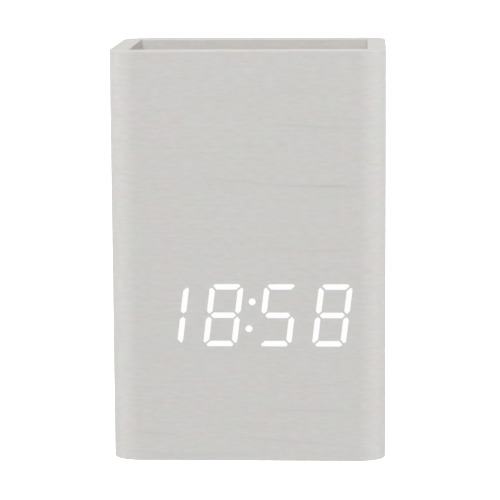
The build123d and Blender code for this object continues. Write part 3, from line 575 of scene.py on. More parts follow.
glow = new_material(
    "lit_bars",
    cloudy_glow,
    Base_Color=grey(0.2),
    Roughness=0.4,
    Specular_IOR_Level=0.2,
    Emission_Strength=glow_level,
)
film_front = -case_depth / 2
bar_front, bar_rear = film_front + bar_recess, film_front + film_thickness
lit_outlines = []
for digit_node, place, numeral in zip(digit_nodes, digit_places, time_shown):
    digit_shape = bmesh.new()
    for i, bar in enumerate(bar_outlines()):
        if i not in unlit_bars[numeral]:
            rounded = round_corners(leaning(bar, place), bar_round, bar_round_steps)
            lit_outlines.append([on_display(u, v) for u, v in rounded])
            add_prism(digit_shape, lit_outlines[-1], bar_front, bar_rear)
    digit_mesh = new_mesh(digit_node + "_bars", digit_shape)
    add_piece(digit_node + "_bars", digit_mesh, glow, "case", "lit_bar", digit_node)
dot_shape = bmesh.new()
dots = leaning([(0, side * dot_spacing / 2) for side in (-1, 1)], 0)
dot_places = [on_display(u, v) for u, v in dots]
for place in dot_places:
    lit_outlines.append(circle_outline(*place, dot_radius, dot_steps))
    add_prism(dot_shape, lit_outlines[-1], bar_front, bar_rear)
add_piece("colon", new_mesh("colon", dot_shape), glow, "case", "lit_bar", "colon_dots")


# The openings of the film are cut with the outlines of the bars and dots, and with circles at the
# back for the three buttons and the plug.
button_opening, inlet_radius, opening_steps, cut_margin = 3.2 * mm, 4.25 * mm, 64, 0.2 * mm


def middle(name):
    """The middle of a solid's box."""
    low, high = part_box(name)
    return (low + high) / 2


openings = bmesh.new()
for outline in lit_outlines:
    add_prism(openings, outline, film_front - cut_margin, bar_rear + cut_margin)
for name, radius in (
    ("power_jack", inlet_radius),
    ("set_button", button_opening),
    ("up_button", button_opening),
    ("down_button", button_opening),
):
    outline = circle_outline(middle(name).x, middle("control_board").z, radius, opening_steps)
    add_prism(openings, outline, -bar_rear - cut_margin, -film_front + cut_margin)
film_mesh = cut_mesh(film_mesh, new_mesh("openings", openings))
smooth_below(film_mesh, 25)
add_piece("grain_film_wrap", film_mesh, grain, "case", "grain_film", "grain_film")


# The four boards and the floor of the cup are fibreboard. The oak print covers their rims and inner
# faces, and the brown fibres show on the edges that the clock stands on and inside the drilled holes.
drilled_low, drilled_high, drilled_side = 33 * mm, 47 * mm, 30 * mm
facing_down, facing_aside = -0.9, 0.5
raw_dark, raw_pale, raw_contrast, raw_waves = (146, 118, 88), (184, 156, 122), 1.6, (1500,) * 3
# The facing tone is painted light: it makes the boards' print lighter and warmer than the film's, for
# the bounce light on the rims and inside the cup.
facing_painted_light_tone, back_rim_painted_shade, rim_depth = (1.02, 1.014, 1.008), 0.93, 0.1 * mm


def raw_fibre(fibres):
    """The colour of bare fibreboard."""
    return blend_colours(fibres * raw_contrast + 0.5, tint(raw_dark), tint(raw_pale))


def oak_facing(place):
    """The oak print on the boards, with painted shade on the top of the back rim, and bare fibres
    where they are cut or drilled.
    """
    colour, relief = wood_grain(place)
    x, y, z = axes_of(place)
    _, sideways, upwards = axes_of(place.node.outputs["Normal"])
    drilled = sideways.math("ABSOLUTE").math("LESS_THAN", facing_aside)
    for axis, side, edge in (
        (z, "GREATER_THAN", drilled_low),
        (z, "LESS_THAN", drilled_high),
        (x, "LESS_THAN", drilled_side),
        (x, "GREATER_THAN", -drilled_side),
    ):
        drilled = drilled * axis.math(side, edge)
    bare = upwards.math("LESS_THAN", facing_down).math("MAXIMUM", drilled)
    # Painted shade: the top of the back board's rim is made darker than the rest of the print.
    past_mitre = y - x.math("ABSOLUTE")
    painted_shade_back_rim = past_mitre.math("GREATER_THAN", (case_depth - case_width) / 2)
    painted_shade_back_rim = painted_shade_back_rim * z.math("GREATER_THAN", case_height - rim_depth)
    print_and_painted_light = scaled(toned(colour, facing_painted_light_tone), painted_shade_back_rim * (back_rim_painted_shade - 1) + 1.0)
    fibres = raw_fibre(stretched_noise(place, raw_waves, 4.0))
    bump = bumped(relief, strength=0.2, distance=0.02 * mm)
    return {"Base Color": blend_colours(bare, print_and_painted_light, fibres), "Normal": bump}


def finish_nodes(material, *names):
    """Gives a material to solids that keep their shape."""
    for name in names:
        nodes[name].data.materials.clear()
        nodes[name].data.materials.append(material)


facing = new_material("oak_faced_board", oak_facing, Roughness=0.65, Specular_IOR_Level=0.2)
finish_nodes(facing, "front_board", "back_board", "left_board", "right_board", "cup_floor")


# A milky sheet behind the film spreads the light, and a white moulded reflector behind the sheet
# has a well for each bar, so that no light strays from one bar to the next.
grains_in_cloud, cloud_shift, cloud_gloss = 12, 4.2, 0.2
merge_distance, flat_angle, sharp_angle = 0.0005 * mm, 0.6, 38


def moulded(name, colour, roughness, grain_size, depth, contrast=0.08, specular=0.4, milky=0.0):
    """A moulded plastic whose fine grain breaks up its colour, its gloss and its surface."""

    def finish(place):
        waves = 1 / grain_size
        grains = stretched_noise(place, (waves,) * 3)
        clouds = stretched_noise(place, (waves / grains_in_cloud,) * 3, 1.0, cloud_shift)
        return {
            "Base Color": scaled(tint(colour), (grains + clouds) * contrast + 1.0),
            "Roughness": clouds * cloud_gloss + roughness,
            "Normal": bumped(grains, strength=0.5, distance=depth),
        }

    return new_material(name, finish, Specular_IOR_Level=specular, Transmission_Weight=milky)


def softened_mesh(name, rounding):
    """A copy of a solid's mesh with its sharp edges rounded a little."""
    shape = bmesh.new()
    shape.from_mesh(nodes[name].data)
    bmesh.ops.remove_doubles(shape, verts=shape.verts, dist=merge_distance)
    bmesh.ops.dissolve_limit(
        shape, angle_limit=math.radians(flat_angle), verts=shape.verts, edges=shape.edges
    )
    sharp = new_object("sharp", new_mesh(name + "_soft", shape))
    sharp.data.shade_smooth()
    bevel = sharp.modifiers.new("rounding", "BEVEL")
    bevel.width, bevel.segments = rounding, 2
    bevel.limit_method, bevel.angle_limit = "ANGLE", math.radians(sharp_angle)
    flatten = sharp.modifiers.new("flatten", "WEIGHTED_NORMAL")
    flatten.mode, flatten.weight = "FACE_AREA", 100
    return plain_mesh(sharp)


def soften(material, rounding, body, slot, *names):
    """Puts softened copies in place of some solids."""
    for name in names:
        add_piece(name + "_soft", softened_mesh(name, rounding), material, body, slot, name)


milky_sheet = moulded(
    "milky_sheet", (238, 238, 238), 0.5, 0.2 * mm, 0.004 * mm, contrast=0.02, milky=0.3
)
finish_nodes(milky_sheet, "diffuser_sheet")
white_moulding = moulded("white_moulding", (230, 230, 228), 0.45, 0.12 * mm, 0.006 * mm, 0.03)
soften(white_moulding, 0.08 * mm, "case", "reflector", "display_reflector")


# A light chip stands in each well, with its face to the front. Each is a small block of pale yellow
# phosphor with a round cup in its face, soldered to the display board and in line with its bar.
chip_length, chip_width, chip_height = 1.6 * mm, 0.8 * mm, 0.6 * mm
level_bars = (0, 3, 6)


def new_tree(name, **inputs):
    """A tree of Geometry Nodes with a geometry input, and its other inputs by name as levels."""
    tree = bpy.data.node_groups.new(name, "GeometryNodeTree")
    tree.interface.new_socket("Geometry", in_out="INPUT", socket_type="NodeSocketGeometry")
    for label, value in inputs.items():
        kind = "NodeSocketInt" if isinstance(value, int) else "NodeSocketFloat"
        socket = tree.interface.new_socket(label, in_out="INPUT", socket_type=kind)
        socket.default_value = value
    tree.interface.new_socket("Geometry", in_out="OUTPUT", socket_type="NodeSocketGeometry")
    source = add_node(tree, "NodeGroupInput").outputs
    return tree, {label: Level(source[label]) for label in inputs}


def end_tree(shape, material):
    """Sets a shape at each point, turned by the point's angles, and ends the shape's tree."""
    tree = shape.id_data
    angles = made_by(
        tree, "GeometryNodeInputNamedAttribute", {"Name": "angles"}, data_type="FLOAT_VECTOR"
    )
    turn = made_by(tree, "FunctionNodeEulerToRotation", {0: angles})
    points = tree.nodes["Group Input"].outputs["Geometry"]
    inputs = {"Points": points, "Instance": shape, "Rotation": turn}
    copies = made_by(tree, "GeometryNodeInstanceOnPoints", inputs)
    real = made_by(tree, "GeometryNodeRealizeInstances", {0: copies})
    inputs = {"Geometry": real, "Material": material}
    add_node(tree, "NodeGroupOutput", {0: made_by(tree, "GeometryNodeSetMaterial", inputs)})


def repeat_at(name, places, tree, **sizes):
    """The plain mesh that a tree makes at some places, each with its three angles."""
    points = bpy.data.meshes.new(name)
    points.from_pydata([place for place, _ in places], [], [])
    angles = points.attributes.new("angles", "FLOAT_VECTOR", "POINT")
    for entry, (_, turn) in zip(angles.data, places):
        entry.vector = turn
    holder = new_object(name, points)
    modifier = holder.modifiers.new("repeat", "NODES")
    modifier.node_group = tree
    for label, value in sizes.items():
        modifier[tree.interface.items_tree[label].identifier] = value
    return plain_mesh(holder)


def moved_by(shape, place, turn=(0, 0, 0)):
    """A shape turned and then moved."""
    inputs = {"Geometry": shape, "Translation": place, "Rotation": turn}
    return made_by(shape.id_data, "GeometryNodeTransform", inputs)


def carved(shape, cutter):
    """A shape with another taken out of it."""
    inputs = {"Mesh 1": shape, "Mesh 2": cutter}
    return made_by(shape.id_data, "GeometryNodeMeshBoolean", inputs, operation="DIFFERENCE")


chip_body = moulded("light_chip_phosphor", (244, 226, 150), 0.25, 0.08 * mm, 0.002 * mm, 0.05)
led_tree, led = new_tree(
    "light_chip",
    length=chip_length,
    width=chip_width,
    height=chip_height,
    cup_sides=20,
    cup_share=0.72,
    cup_taper=0.7,
    cup_depth=0.4,
    cup_place=-0.35,
)
led_size = vector_of(led["length"], led["height"], led["width"])
led_block = made_by(led_tree, "GeometryNodeMeshCube", {"Size": led_size})
cup_radius = led["width"] * led["cup_share"] * 0.5
cup_shape = {
    "Vertices": led["cup_sides"],
    "Radius Top": cup_radius,
    "Radius Bottom": cup_radius * led["cup_taper"],
    "Depth": led["height"] * led["cup_depth"],
}
chip_cup = made_by(led_tree, "GeometryNodeMeshCone", cup_shape)
chip_cup = moved_by(chip_cup, vector_of(0, led["height"] * led["cup_place"], 0), (quarter, 0, 0))
end_tree(carved(led_block, chip_cup), chip_body)
chip_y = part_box("light_chips")[0].y + chip_height / 2
led_places = []
for place in digit_places:
    for i, bar in enumerate(bar_outlines()):
        x, z = on_display(*(sum(axis) / len(bar) for axis in zip(*leaning(bar, place))))
        upright = 0.0 if i in level_bars else quarter + math.atan(digit_lean)
        led_places.append(((x, chip_y, z), (0, upright, 0)))
led_places += [((x, chip_y, z), (0, 0, 0)) for x, z in dot_places]
led_mesh = repeat_at("light_chip_set", led_places, led_tree)
add_piece("light_chip_set", led_mesh, chip_body, "case", "light_chip", "light_chips")


# The circuit boards are glass laminate under green solder mask, through which the copper tracks
# show paler. The display board carries the light chips in front and its driver parts behind.
track_pitch, tracks_in_cell, track_share = 1.9 * mm, 2.6, 0.32
mask_green, track_green, mask_clouds = (16, 84, 52), (34, 122, 74), 0.12


def solder_mask(place):
    """Green solder mask over a web of copper tracks."""
    cells = {"Vector": place, "Scale": 1 / track_pitch, "Randomness": 0.75}
    from_cell = made_by(
        place.id_data, "ShaderNodeTexVoronoi", cells, feature="F1", distance="MANHATTAN"
    )
    bands = (Level(from_cell) * tracks_in_cell).math("FRACT")
    tracks = bands.math("LESS_THAN", track_share)
    value = stretched_noise(place, (300, 300, 300)) * mask_clouds + 1.0
    colour = scaled(blend_colours(tracks, tint(mask_green), tint(track_green)), value)
    return {"Base Color": colour, "Normal": bumped(tracks, strength=0.4, distance=0.03 * mm)}


circuit = new_material("solder_mask", solder_mask, Roughness=0.32)
finish_nodes(circuit, "display_board", "control_board")


# Two six-sided brass spacers and two small screws hold the display board off the front board. The
# screws are zinc plated steel, with low round heads, cross recesses and a coarse thread for wood.
screw_head = 2.0 * mm
heads_back, heads_front, heads_down = (-quarter, 0, 0), (quarter, 0, 0), (math.pi, 0, 0)
mark_contrast, mark_gloss, mark_depth = 0.16, 0.25, 0.002 * mm
tarnish_waves, tarnish_contrast = ((700, 700, 700), 2.0, 2.6), 0.14


def metal(name, colour, roughness, streaks):
    """A metal with fine tool marks, stretched by the streaks along each axis."""

    def finish(place):
        marks = stretched_noise(place, streaks, 3.0)
        tarnish = stretched_noise(place, *tarnish_waves)
        value = marks * mark_contrast + tarnish * tarnish_contrast + 1.0
        return {
            "Base Color": scaled(tint(colour), value),
            "Roughness": marks * mark_gloss + roughness,
            "Normal": bumped(marks, strength=0.3, distance=mark_depth),
        }

    return new_material(name, finish, Metallic=1.0)


zinc = metal("zinc_plate", (196, 198, 200), 0.32, (2600, 2600, 2600))
brass = metal("turned_brass", (205, 176, 112), 0.28, (900, 5200, 900))
screw_tree, screw = new_tree(
    "wood_screw",
    head_radius=screw_head,
    head_height=1.3 * mm,
    shank_radius=1.0 * mm,
    shank_length=6.1 * mm,
    tip_start=0.15 * mm,
    tip_share=1.5,
    pitch=0.8 * mm,
    thread_depth=0.18 * mm,
    thread_power=0.6,
    thread_share=1.5,
    dome_power=3.0,
    dome_share=0.3,
    recess_share=0.62,
    recess_width=0.22,
    recess_rise=0.95,
    sides=28,
    rings=72,
    head_rings=8,
)


def shaped_rod(radius, length, low, rings):
    """A rod up the Z axis, whose radius is worked out for each of its points."""
    inputs = {"Vertices": screw["sides"], "Side Segments": rings, "Radius": 1.0, "Depth": length}
    rod = made_by(screw_tree, "GeometryNodeMeshCylinder", inputs)
    rod = moved_by(rod, vector_of(0, 0, length * 0.5 + low))
    x, y, z = axes_of(made_by(screw_tree, "GeometryNodeInputPosition"))
    size = radius(x, y, z)
    inputs = {"Geometry": rod, "Position": vector_of(x * size, y * size, z)}
    return made_by(screw_tree, "GeometryNodeSetPosition", inputs)


def thread_radius(x, y, z):
    """The threaded shank: a ridge that climbs one pitch in each turn, and a tapered tip."""
    climb = z / screw["pitch"] - y.math("ARCTAN2", x) / (2 * math.pi)
    ridge = climb.math("PINGPONG", 0.5).math("POWER", screw["thread_power"])
    full = screw["shank_radius"] - ridge * screw["thread_share"] * screw["thread_depth"]
    from_tip = z + screw["shank_length"] + screw["tip_start"]
    taper = from_tip / (screw["shank_radius"] * screw["tip_share"])
    return full * taper.math("MINIMUM", 1.0)


def head_radius(x, y, z):
    """The low domed head."""
    fall = (z / screw["head_height"]).math("POWER", screw["dome_power"]) * -1.0
    return (fall * screw["dome_share"] + 1.0) * screw["head_radius"]


shank_low = screw["shank_length"] * -1.0
shank = shaped_rod(thread_radius, screw["shank_length"], shank_low, screw["rings"])
cut_head = shaped_rod(head_radius, screw["head_height"], 0.0, screw["head_rings"])
recess_long = screw["head_radius"] * screw["recess_share"] * 2.0
recess_wide = screw["head_radius"] * screw["recess_width"]
recess_place = vector_of(0, 0, screw["head_height"] * screw["recess_rise"])
for length, width in ((recess_long, recess_wide), (recess_wide, recess_long)):
    arm_size = vector_of(length, width, screw["head_height"])
    arm = made_by(screw_tree, "GeometryNodeMeshCube", {"Size": arm_size})
    cut_head = carved(cut_head, moved_by(arm, recess_place))
whole_screw = add_node(screw_tree, "GeometryNodeJoinGeometry", {0: shank})
set_inputs(whole_screw, {0: cut_head})
end_tree(whole_screw.outputs[0], zinc)


def add_screws(name, places, turn, node, **sizes):
    """Screws at some places, with their heads seated there."""
    screw_mesh = repeat_at(name, [(place, turn) for place in places], screw_tree, **sizes)
    smooth_below(screw_mesh, 40)
    add_piece(name, screw_mesh, zinc, "case", "screw_steel", node)


def screw_axes(node, head):
    """The least and the greatest places of a set of screws, from the box round their heads."""
    low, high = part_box(node)
    return low + Vector((head,) * 3), high - Vector((head,) * 3)


low, high = screw_axes("display_board_screws", screw_head)
board_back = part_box("display_board")[1].y
screw_places = [(low.x, board_back, high.z), (high.x, board_back, low.z)]
add_screws("display_board_screw_set", screw_places, heads_back, "display_board_screws")
soften(brass, 0.1 * mm, "case", "brass", "display_board_spacers")


# Behind the display are its driver chip on tinned legs, a crystal in a drawn can, a buzzer, a
# capacitor in a dark sleeve and eight chip resistors, all soldered to the board.
turned_steps, turned_crease, round_steps = 56, 30, 4
sleeve_radius, sleeve_height, sleeve_round, sleeve_foot = 3.15 * mm, 7.0 * mm, 0.45 * mm, 0.3 * mm
groove_height, groove_depth, can_top, can_top_depth = 1.0 * mm, 0.2 * mm, 2.4 * mm, 0.1 * mm
buzzer_radius, buzzer_height, buzzer_round, buzzer_foot = 4.8 * mm, 5.0 * mm, 0.5 * mm, 0.2 * mm
sound_hole, sound_hole_bevel, sound_hole_depth = 1.0 * mm, 0.15 * mm, 1.5 * mm


def turned_mesh(name, profile, origin, axis, steps):
    """A body turned about an axis, from radii and places along it. A radius of 0 closes an end."""
    shape = bmesh.new()
    along = Vector(axis)
    side = along.orthogonal().normalized()
    other = along.cross(side)
    rings = []
    for radius, reach in profile:
        centre = Vector(origin) + along * reach
        turns = [2 * math.pi * step / steps for step in range(steps if radius else 1)]
        rings.append(
            [
                shape.verts.new(centre + (side * math.cos(turn) + other * math.sin(turn)) * radius)
                for turn in turns
            ]
        )
    for ring, following in zip(rings, rings[1:]):
        join_rings(shape, ring, following)
    return new_mesh(name, shape)


def rounded_end(radius, reach, rounding, steps=round_steps):
    """Profile points of a rounded rim, from the side of a turned body onto its far end."""
    angles = [quarter * step / steps for step in range(steps + 1)]
    return [
        (radius - rounding * (1 - math.cos(angle)), reach - rounding * (1 - math.sin(angle)))
        for angle in angles
    ]


def rounded_start(radius, rounding):
    """Profile points of a rounded rim, from the near end of a turned body onto its side."""
    return [(r, -reach) for r, reach in reversed(rounded_end(radius, 0, rounding))]


def add_turned(name, profile, material, slot, node, body="case"):
    """Adds a piece turned about a line from front to back, in place of a solid."""
    spot = middle(node)
    origin = (spot.x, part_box(node)[0].y, spot.z)
    mesh = turned_mesh(name, profile, origin, (0, 1, 0), turned_steps)
    smooth_below(mesh, turned_crease)
    add_piece(name, mesh, material, body, slot, node)


black_ceramic = moulded("black_ceramic", (40, 40, 42), 0.5, 0.1 * mm, 0.004 * mm)
tinned = metal("tinned_lead", (206, 208, 208), 0.3, (3000, 3000, 3000))
drawn_can = metal("drawn_can", (200, 202, 204), 0.24, (500, 4200, 500))
dark_sleeve = moulded("dark_sleeve", (44, 52, 84), 0.3, 0.5 * mm, 0.004 * mm)
black_moulding = moulded("black_moulding", (36, 36, 38), 0.5, 0.16 * mm, 0.008 * mm)
soften(black_ceramic, 0.12 * mm, "case", "ceramic_chip", "clock_chip", "chip_resistors")
soften(tinned, 0.05 * mm, "case", "tinned_lead", "chip_leads")
soften(drawn_can, 0.25 * mm, "case", "can_steel", "crystal")
capacitor_profile = [
    (0, 0),
    *rounded_start(sleeve_radius, sleeve_foot),
    (sleeve_radius, groove_height),
    (sleeve_radius - groove_depth, groove_height + groove_depth),
    (sleeve_radius - groove_depth, groove_height + 2 * groove_depth),
    (sleeve_radius, groove_height + 3 * groove_depth),
    *rounded_end(sleeve_radius, sleeve_height, sleeve_round),
    (can_top, sleeve_height),
    (can_top - can_top_depth, sleeve_height - can_top_depth),
    (0, sleeve_height - can_top_depth),
]
add_turned("capacitor_can", capacitor_profile, dark_sleeve, "capacitor_sleeve", "capacitor")
buzzer_profile = [
    (0, 0),
    *rounded_start(buzzer_radius, buzzer_foot),
    *rounded_end(buzzer_radius, buzzer_height, buzzer_round),
    (sound_hole + sound_hole_bevel, buzzer_height),
    (sound_hole, buzzer_height - sound_hole_bevel),
    (sound_hole, buzzer_height - sound_hole_depth),
    (0, buzzer_height - sound_hole_depth),
]
add_turned("buzzer_case", buzzer_profile, black_moulding, "black_plastic", "buzzer")


# The control board stands on four six-sided brass standoffs behind the cup, held by four screws.
# It carries the switches, the power jack, the coin cell that keeps the time, and the sensors.
low, high = screw_axes("control_board_screws", screw_head)
control_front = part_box("control_board")[0].y
add_screws(
    "control_board_screw_set",
    [(x, control_front, z) for x in (low.x, high.x) for z in (low.z, high.z)],
    heads_front,
    "control_board_screws",
    shank_length=10.7 * mm,
    rings=120,
)
soften(brass, 0.1 * mm, "case", "brass", "control_board_standoffs")


# Three buttons of pale satin plastic pass through the back. Each cap has a dished face and a
# flange inside the case, and a square plunger carries it in the switch that springs it back.
cap_radius, cap_rim, cap_dish, cap_dish_depth = 3.0 * mm, 0.4 * mm, 2.3 * mm, 0.22 * mm
cap_flange, cap_flange_depth, cap_flange_round = 4.0 * mm, 1.0 * mm, 0.15 * mm
cap_foot, cap_steps = 0.1 * mm, 8
satin_plastic = moulded("satin_plastic", (222, 219, 214), 0.36, 0.14 * mm, 0.005 * mm, 0.03)
cream_plastic = moulded("cream_plastic", (226, 222, 212), 0.42, 0.14 * mm, 0.006 * mm, 0.04)


def depth_of(name):
    """How far a solid reaches from front to back."""
    low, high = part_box(name)
    return high.y - low.y


for button in ("set_button", "up_button", "down_button"):
    length = depth_of(button)
    dish_shares = [1 - step / cap_steps for step in range(cap_steps + 1)]
    cap_profile = [
        (0, 0),
        *rounded_start(cap_flange, cap_flange_round),
        *rounded_end(cap_flange, cap_flange_depth, cap_flange_round),
        (cap_radius + cap_foot, cap_flange_depth),
        (cap_radius, cap_flange_depth + cap_foot),
        *rounded_end(cap_radius, length, cap_rim),
        *((cap_dish * share, length - cap_dish_depth * (1 - share**2)) for share in dish_shares),
    ]
    add_turned(button + "_cap", cap_profile, satin_plastic, "button", button, button)
    plunger = button.replace("button", "plunger")
    soften(cream_plastic, 0.12 * mm, button, "white_plastic", plunger)
soften(black_moulding, 0.15 * mm, "case", "black_plastic", "switch_bodies")


# The power jack is a black moulding with a sprung centre pin of turned brass, nickel plated. Its
# mouth lies just inside the plain hole through the back, into which the plug of a lead is pushed.
low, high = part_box("power_jack_pin")
pin_radius, pin_length = (high.x - low.x) / 2, depth_of("power_jack_pin")
pin_round, pin_round_steps = 0.9 * pin_radius, 6
nickel = metal("nickel_plate", (206, 202, 194), 0.2, (3800, 3800, 3800))
soften(black_moulding, 0.2 * mm, "case", "black_plastic", "power_jack")
pin_profile = [
    (0, 0),
    (pin_radius, 0),
    *rounded_end(pin_radius, pin_length, pin_round, pin_round_steps),
    (0, pin_length),
]
add_turned("power_jack_pin_turned", pin_profile, nickel, "brass", "power_jack_pin")


# The coin cell lies flat on the control board under a sprung steel strap. A felt-faced microphone
# and a small flat-backed temperature sensor stand beside it.
coin_radius, coin_thickness, coin_round = 10.0 * mm, depth_of("coin_cell"), 0.35 * mm
coin_rim = ((8.9, 0), (9.05, 0.15), (9.25, 0.3), (9.8, 0.3), (10.0, 0.55))
microphone_radius, microphone_height = 3.0 * mm, depth_of("microphone")
microphone_round = 0.25 * mm
felt_radius, felt_depth, felt_bevel = 2.2 * mm, 0.2 * mm, 0.1 * mm
felt_hole, felt_hole_depth = 0.5 * mm, 1.0 * mm
soften(nickel, 0.08 * mm, "case", "spring_steel", "coin_cell_holder")
coin_profile = [
    (0, 0),
    *((radius * mm, reach * mm) for radius, reach in coin_rim),
    *rounded_end(coin_radius, coin_thickness, coin_round),
    (0, coin_thickness),
]
add_turned("coin_cell_can", coin_profile, drawn_can, "can_steel", "coin_cell")
microphone_profile = [
    (0, microphone_height),
    (microphone_radius, microphone_height),
    *reversed(rounded_start(microphone_radius, microphone_round)),
    (felt_radius + felt_bevel, 0),
    (felt_radius, felt_depth),
    (felt_hole, felt_depth),
    (felt_hole, felt_hole_depth),
    (0, felt_hole_depth),
]
add_turned("microphone_can", microphone_profile, drawn_can, "can_steel", "microphone")
soften(black_moulding, 0.12 * mm, "case", "black_plastic", "temperature_sensor")


# A grey flat cable joins a cream socket on each board, and a third socket takes the battery leads.
# Its ten wires lie side by side, moulded together in soft plastic, and it sags between the boards.
ribbon_wires, ribbon_pitch, ribbon_wire_radius, ribbon_arc_steps = 10, 0.79 * mm, 0.43 * mm, 6
ribbon_lead_in, ribbon_sag = 5 * mm, 4 * mm
# The valley grey is painted shade between the wires, and the ridge grey a painted highlight over each
# wire.
ribbon_painted_valley_shade, ribbon_painted_ridge_highlight, ribbon_shade_contrast = (112, 114, 118), (154, 156, 160), 2.0
soften(cream_plastic, 0.2 * mm, "case", "white_plastic", "cable_sockets", "lead_socket")


def new_curve(name, kind, dimensions, places):
    """A curve of a kind with one line, controlled by some places."""
    curve = bpy.data.curves.new(name, "CURVE")
    curve.dimensions = dimensions
    line = curve.splines.new(kind)
    line.points.add(len(places) - 1)
    for point, place in zip(line.points, places):
        point.co = (*place, 1)
    return curve, line


def wire_line(name, route):
    """A curve that runs smoothly from the first point of a route to the last."""
    curve, line = new_curve(name, "NURBS", "3D", route)
    curve.resolution_u, curve.use_fill_caps = 12, True
    line.order_u, line.use_endpoint_u = 3, True
    return curve


def ribbon_section():
    """The ribbed outline of the flat cable, round both sides of its wires, as a closed curve."""
    valley = math.acos(ribbon_pitch / 2 / ribbon_wire_radius)
    outline = []
    for side in (1, -1):
        for wire in range(ribbon_wires):
            centre = side * (wire - (ribbon_wires - 1) / 2) * ribbon_pitch
            first = math.pi if wire == 0 else math.pi - valley
            last = 0.0 if wire == ribbon_wires - 1 else valley
            for step in range(ribbon_arc_steps):
                angle = first + (last - first) * step / ribbon_arc_steps
                across = centre + side * ribbon_wire_radius * math.cos(angle)
                outline.append((across, side * ribbon_wire_radius * math.sin(angle), 0))
    section, edge = new_curve("ribbon_section", "POLY", "2D", outline)
    edge.use_cyclic_u = True
    return bpy.data.objects.new("ribbon_section", section)


def flat_cable(place):
    """Soft grey plastic, with painted shade in the valley between the wires and a painted highlight
    on the ridge over each wire.
    """
    across = (axes_of(place)[0] - ribbon_middle.x) / ribbon_pitch
    wash = stretched_noise(place, (400, 900, 400), 3.0)
    # Painted shade and highlight across the wires: darker in each valley, paler on each ridge.
    ridge = across.math("PINGPONG", 0.5) * ribbon_shade_contrast + wash
    colour = blend_colours(ridge, tint(ribbon_painted_valley_shade), tint(ribbon_painted_ridge_highlight))
    return {"Base Color": colour, "Normal": bumped(wash, strength=0.5, distance=0.02 * mm)}


low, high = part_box("ribbon_cable")
ribbon_middle, socket_z = middle("ribbon_cable"), middle("cable_sockets").z
ribbon_route = [
    (ribbon_middle.x, low.y, socket_z),
    (ribbon_middle.x, low.y + ribbon_lead_in, socket_z),
    (ribbon_middle.x, ribbon_middle.y, socket_z - ribbon_sag),
    (ribbon_middle.x, high.y - ribbon_lead_in, socket_z),
    (ribbon_middle.x, high.y, socket_z),
]
ribbon_line = wire_line("ribbon_cable_strip", ribbon_route)
ribbon_line.bevel_mode, ribbon_line.twist_mode = "OBJECT", "Z_UP"
ribbon_line.bevel_object = ribbon_section()
ribbon_mesh = plain_mesh(new_object("ribbon", ribbon_line))
smooth_below(ribbon_mesh, 60)
ribbon = new_material("flat_cable", flat_cable, Roughness=0.55)
add_piece("ribbon_cable_strip", ribbon_mesh, ribbon, "case", "ribbon", "ribbon_cable")


# Four blocks of bare fibreboard are glued into the bottom corners of the case. The screws of the
# base cover go into pilot holes up their middles.
block_waves = (1100, 1100, 2600)


def block_fibres(place):
    """Bare fibres that lie in level layers."""
    fibres = stretched_noise(place, block_waves, 4.0)
    bump = bumped(fibres, strength=1.0, distance=0.15 * mm)
    return {"Base Color": raw_fibre(fibres), "Normal": bump}


raw_board = new_material("raw_fibreboard", block_fibres, Roughness=0.85)
soften(raw_board, 0.3 * mm, "case", "faced_board", "screw_blocks")


# The base cover is a dark grey moulding that closes the case and holds the battery bay. The battery
# door, of the same plastic, turns on two pins at one end and has a finger notch at the other.
base_head = 2.4 * mm
case_moulding = moulded("case_moulding", (66, 66, 69), 0.55, 0.22 * mm, 0.014 * mm, 0.10)
soften(case_moulding, 0.15 * mm, "case", "case_plastic", "base_cover")
soften(case_moulding, 0.12 * mm, "battery_door", "case_plastic", "battery_door")
low, high = screw_axes("base_screws", base_head)
cover_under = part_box("base_cover")[0].z
add_screws(
    "base_screw_set",
    [(x, y, cover_under) for x in (low.x, high.x) for y in (low.y, high.y)],
    heads_down,
    "base_screws",
    head_radius=base_head,
    head_height=1.4 * mm,
    shank_radius=1.2 * mm,
    shank_length=10.0 * mm,
    pitch=1.0 * mm,
    rings=120,
)


# Three small cells lie in the bay, turned end for end. Each has a printed wrap with a pale band at
# its positive end, shrunk over the shoulders of a steel can.
cell_radius, cell_full, cell_pitch, cell_band = 5.25 * mm, 44.5 * mm, 10.9 * mm, 11 * mm
nipple_radius, nipple_height, nipple_round, nipple_foot = 1.9 * mm, 0.9 * mm, 0.3 * mm, 0.15 * mm
can_radius, can_end_radius, can_inset = 4.3 * mm, 4.1 * mm, 0.1 * mm
cell_steps, cell_crease = 64, 35
# Radii of the wrap over a shoulder of the can, and how far in from the end each lies
wrap_shoulder = ((4.1, 0.02), (4.7, 0), (5.05, 0.12), (5.25, 0.45))
cell_wrap = moulded("cell_wrap", (62, 110, 88), 0.28, 1.2 * mm, 0.004 * mm, 0.05, 0.5)
cell_band_wrap = moulded("cell_wrap_band", (196, 190, 172), 0.3, 1.2 * mm, 0.004 * mm, 0.05, 0.5)
can_bevel = can_radius - can_end_radius
can_low, can_high = nipple_height + can_inset, cell_full - can_inset
band_profile = [(radius * mm, nipple_height + reach * mm) for radius, reach in wrap_shoulder]
wrap_profile = [(radius * mm, cell_full - reach * mm) for radius, reach in reversed(wrap_shoulder)]
can_profile = [
    (0, 0),
    *rounded_start(nipple_radius, nipple_round),
    (nipple_radius, nipple_height - nipple_foot),
    (nipple_radius + nipple_foot, can_low),
    (can_end_radius, can_low),
    (can_radius, can_low + can_bevel),
    (can_radius, can_high - can_bevel),
    (can_end_radius, can_high),
    (0, can_high),
]
cell_parts = (
    ("band", band_profile + [(cell_radius, cell_band)], cell_band_wrap, "cell"),
    ("wrap", [(cell_radius, cell_band)] + wrap_profile, cell_wrap, "cell"),
    ("can", can_profile, drawn_can, "can_steel"),
)
low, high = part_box("battery_cells")
cell_z = (low.z + high.z) / 2
cell_rows = [((row - 1) * cell_pitch, 1 if row % 2 == 0 else -1) for row in range(3)]
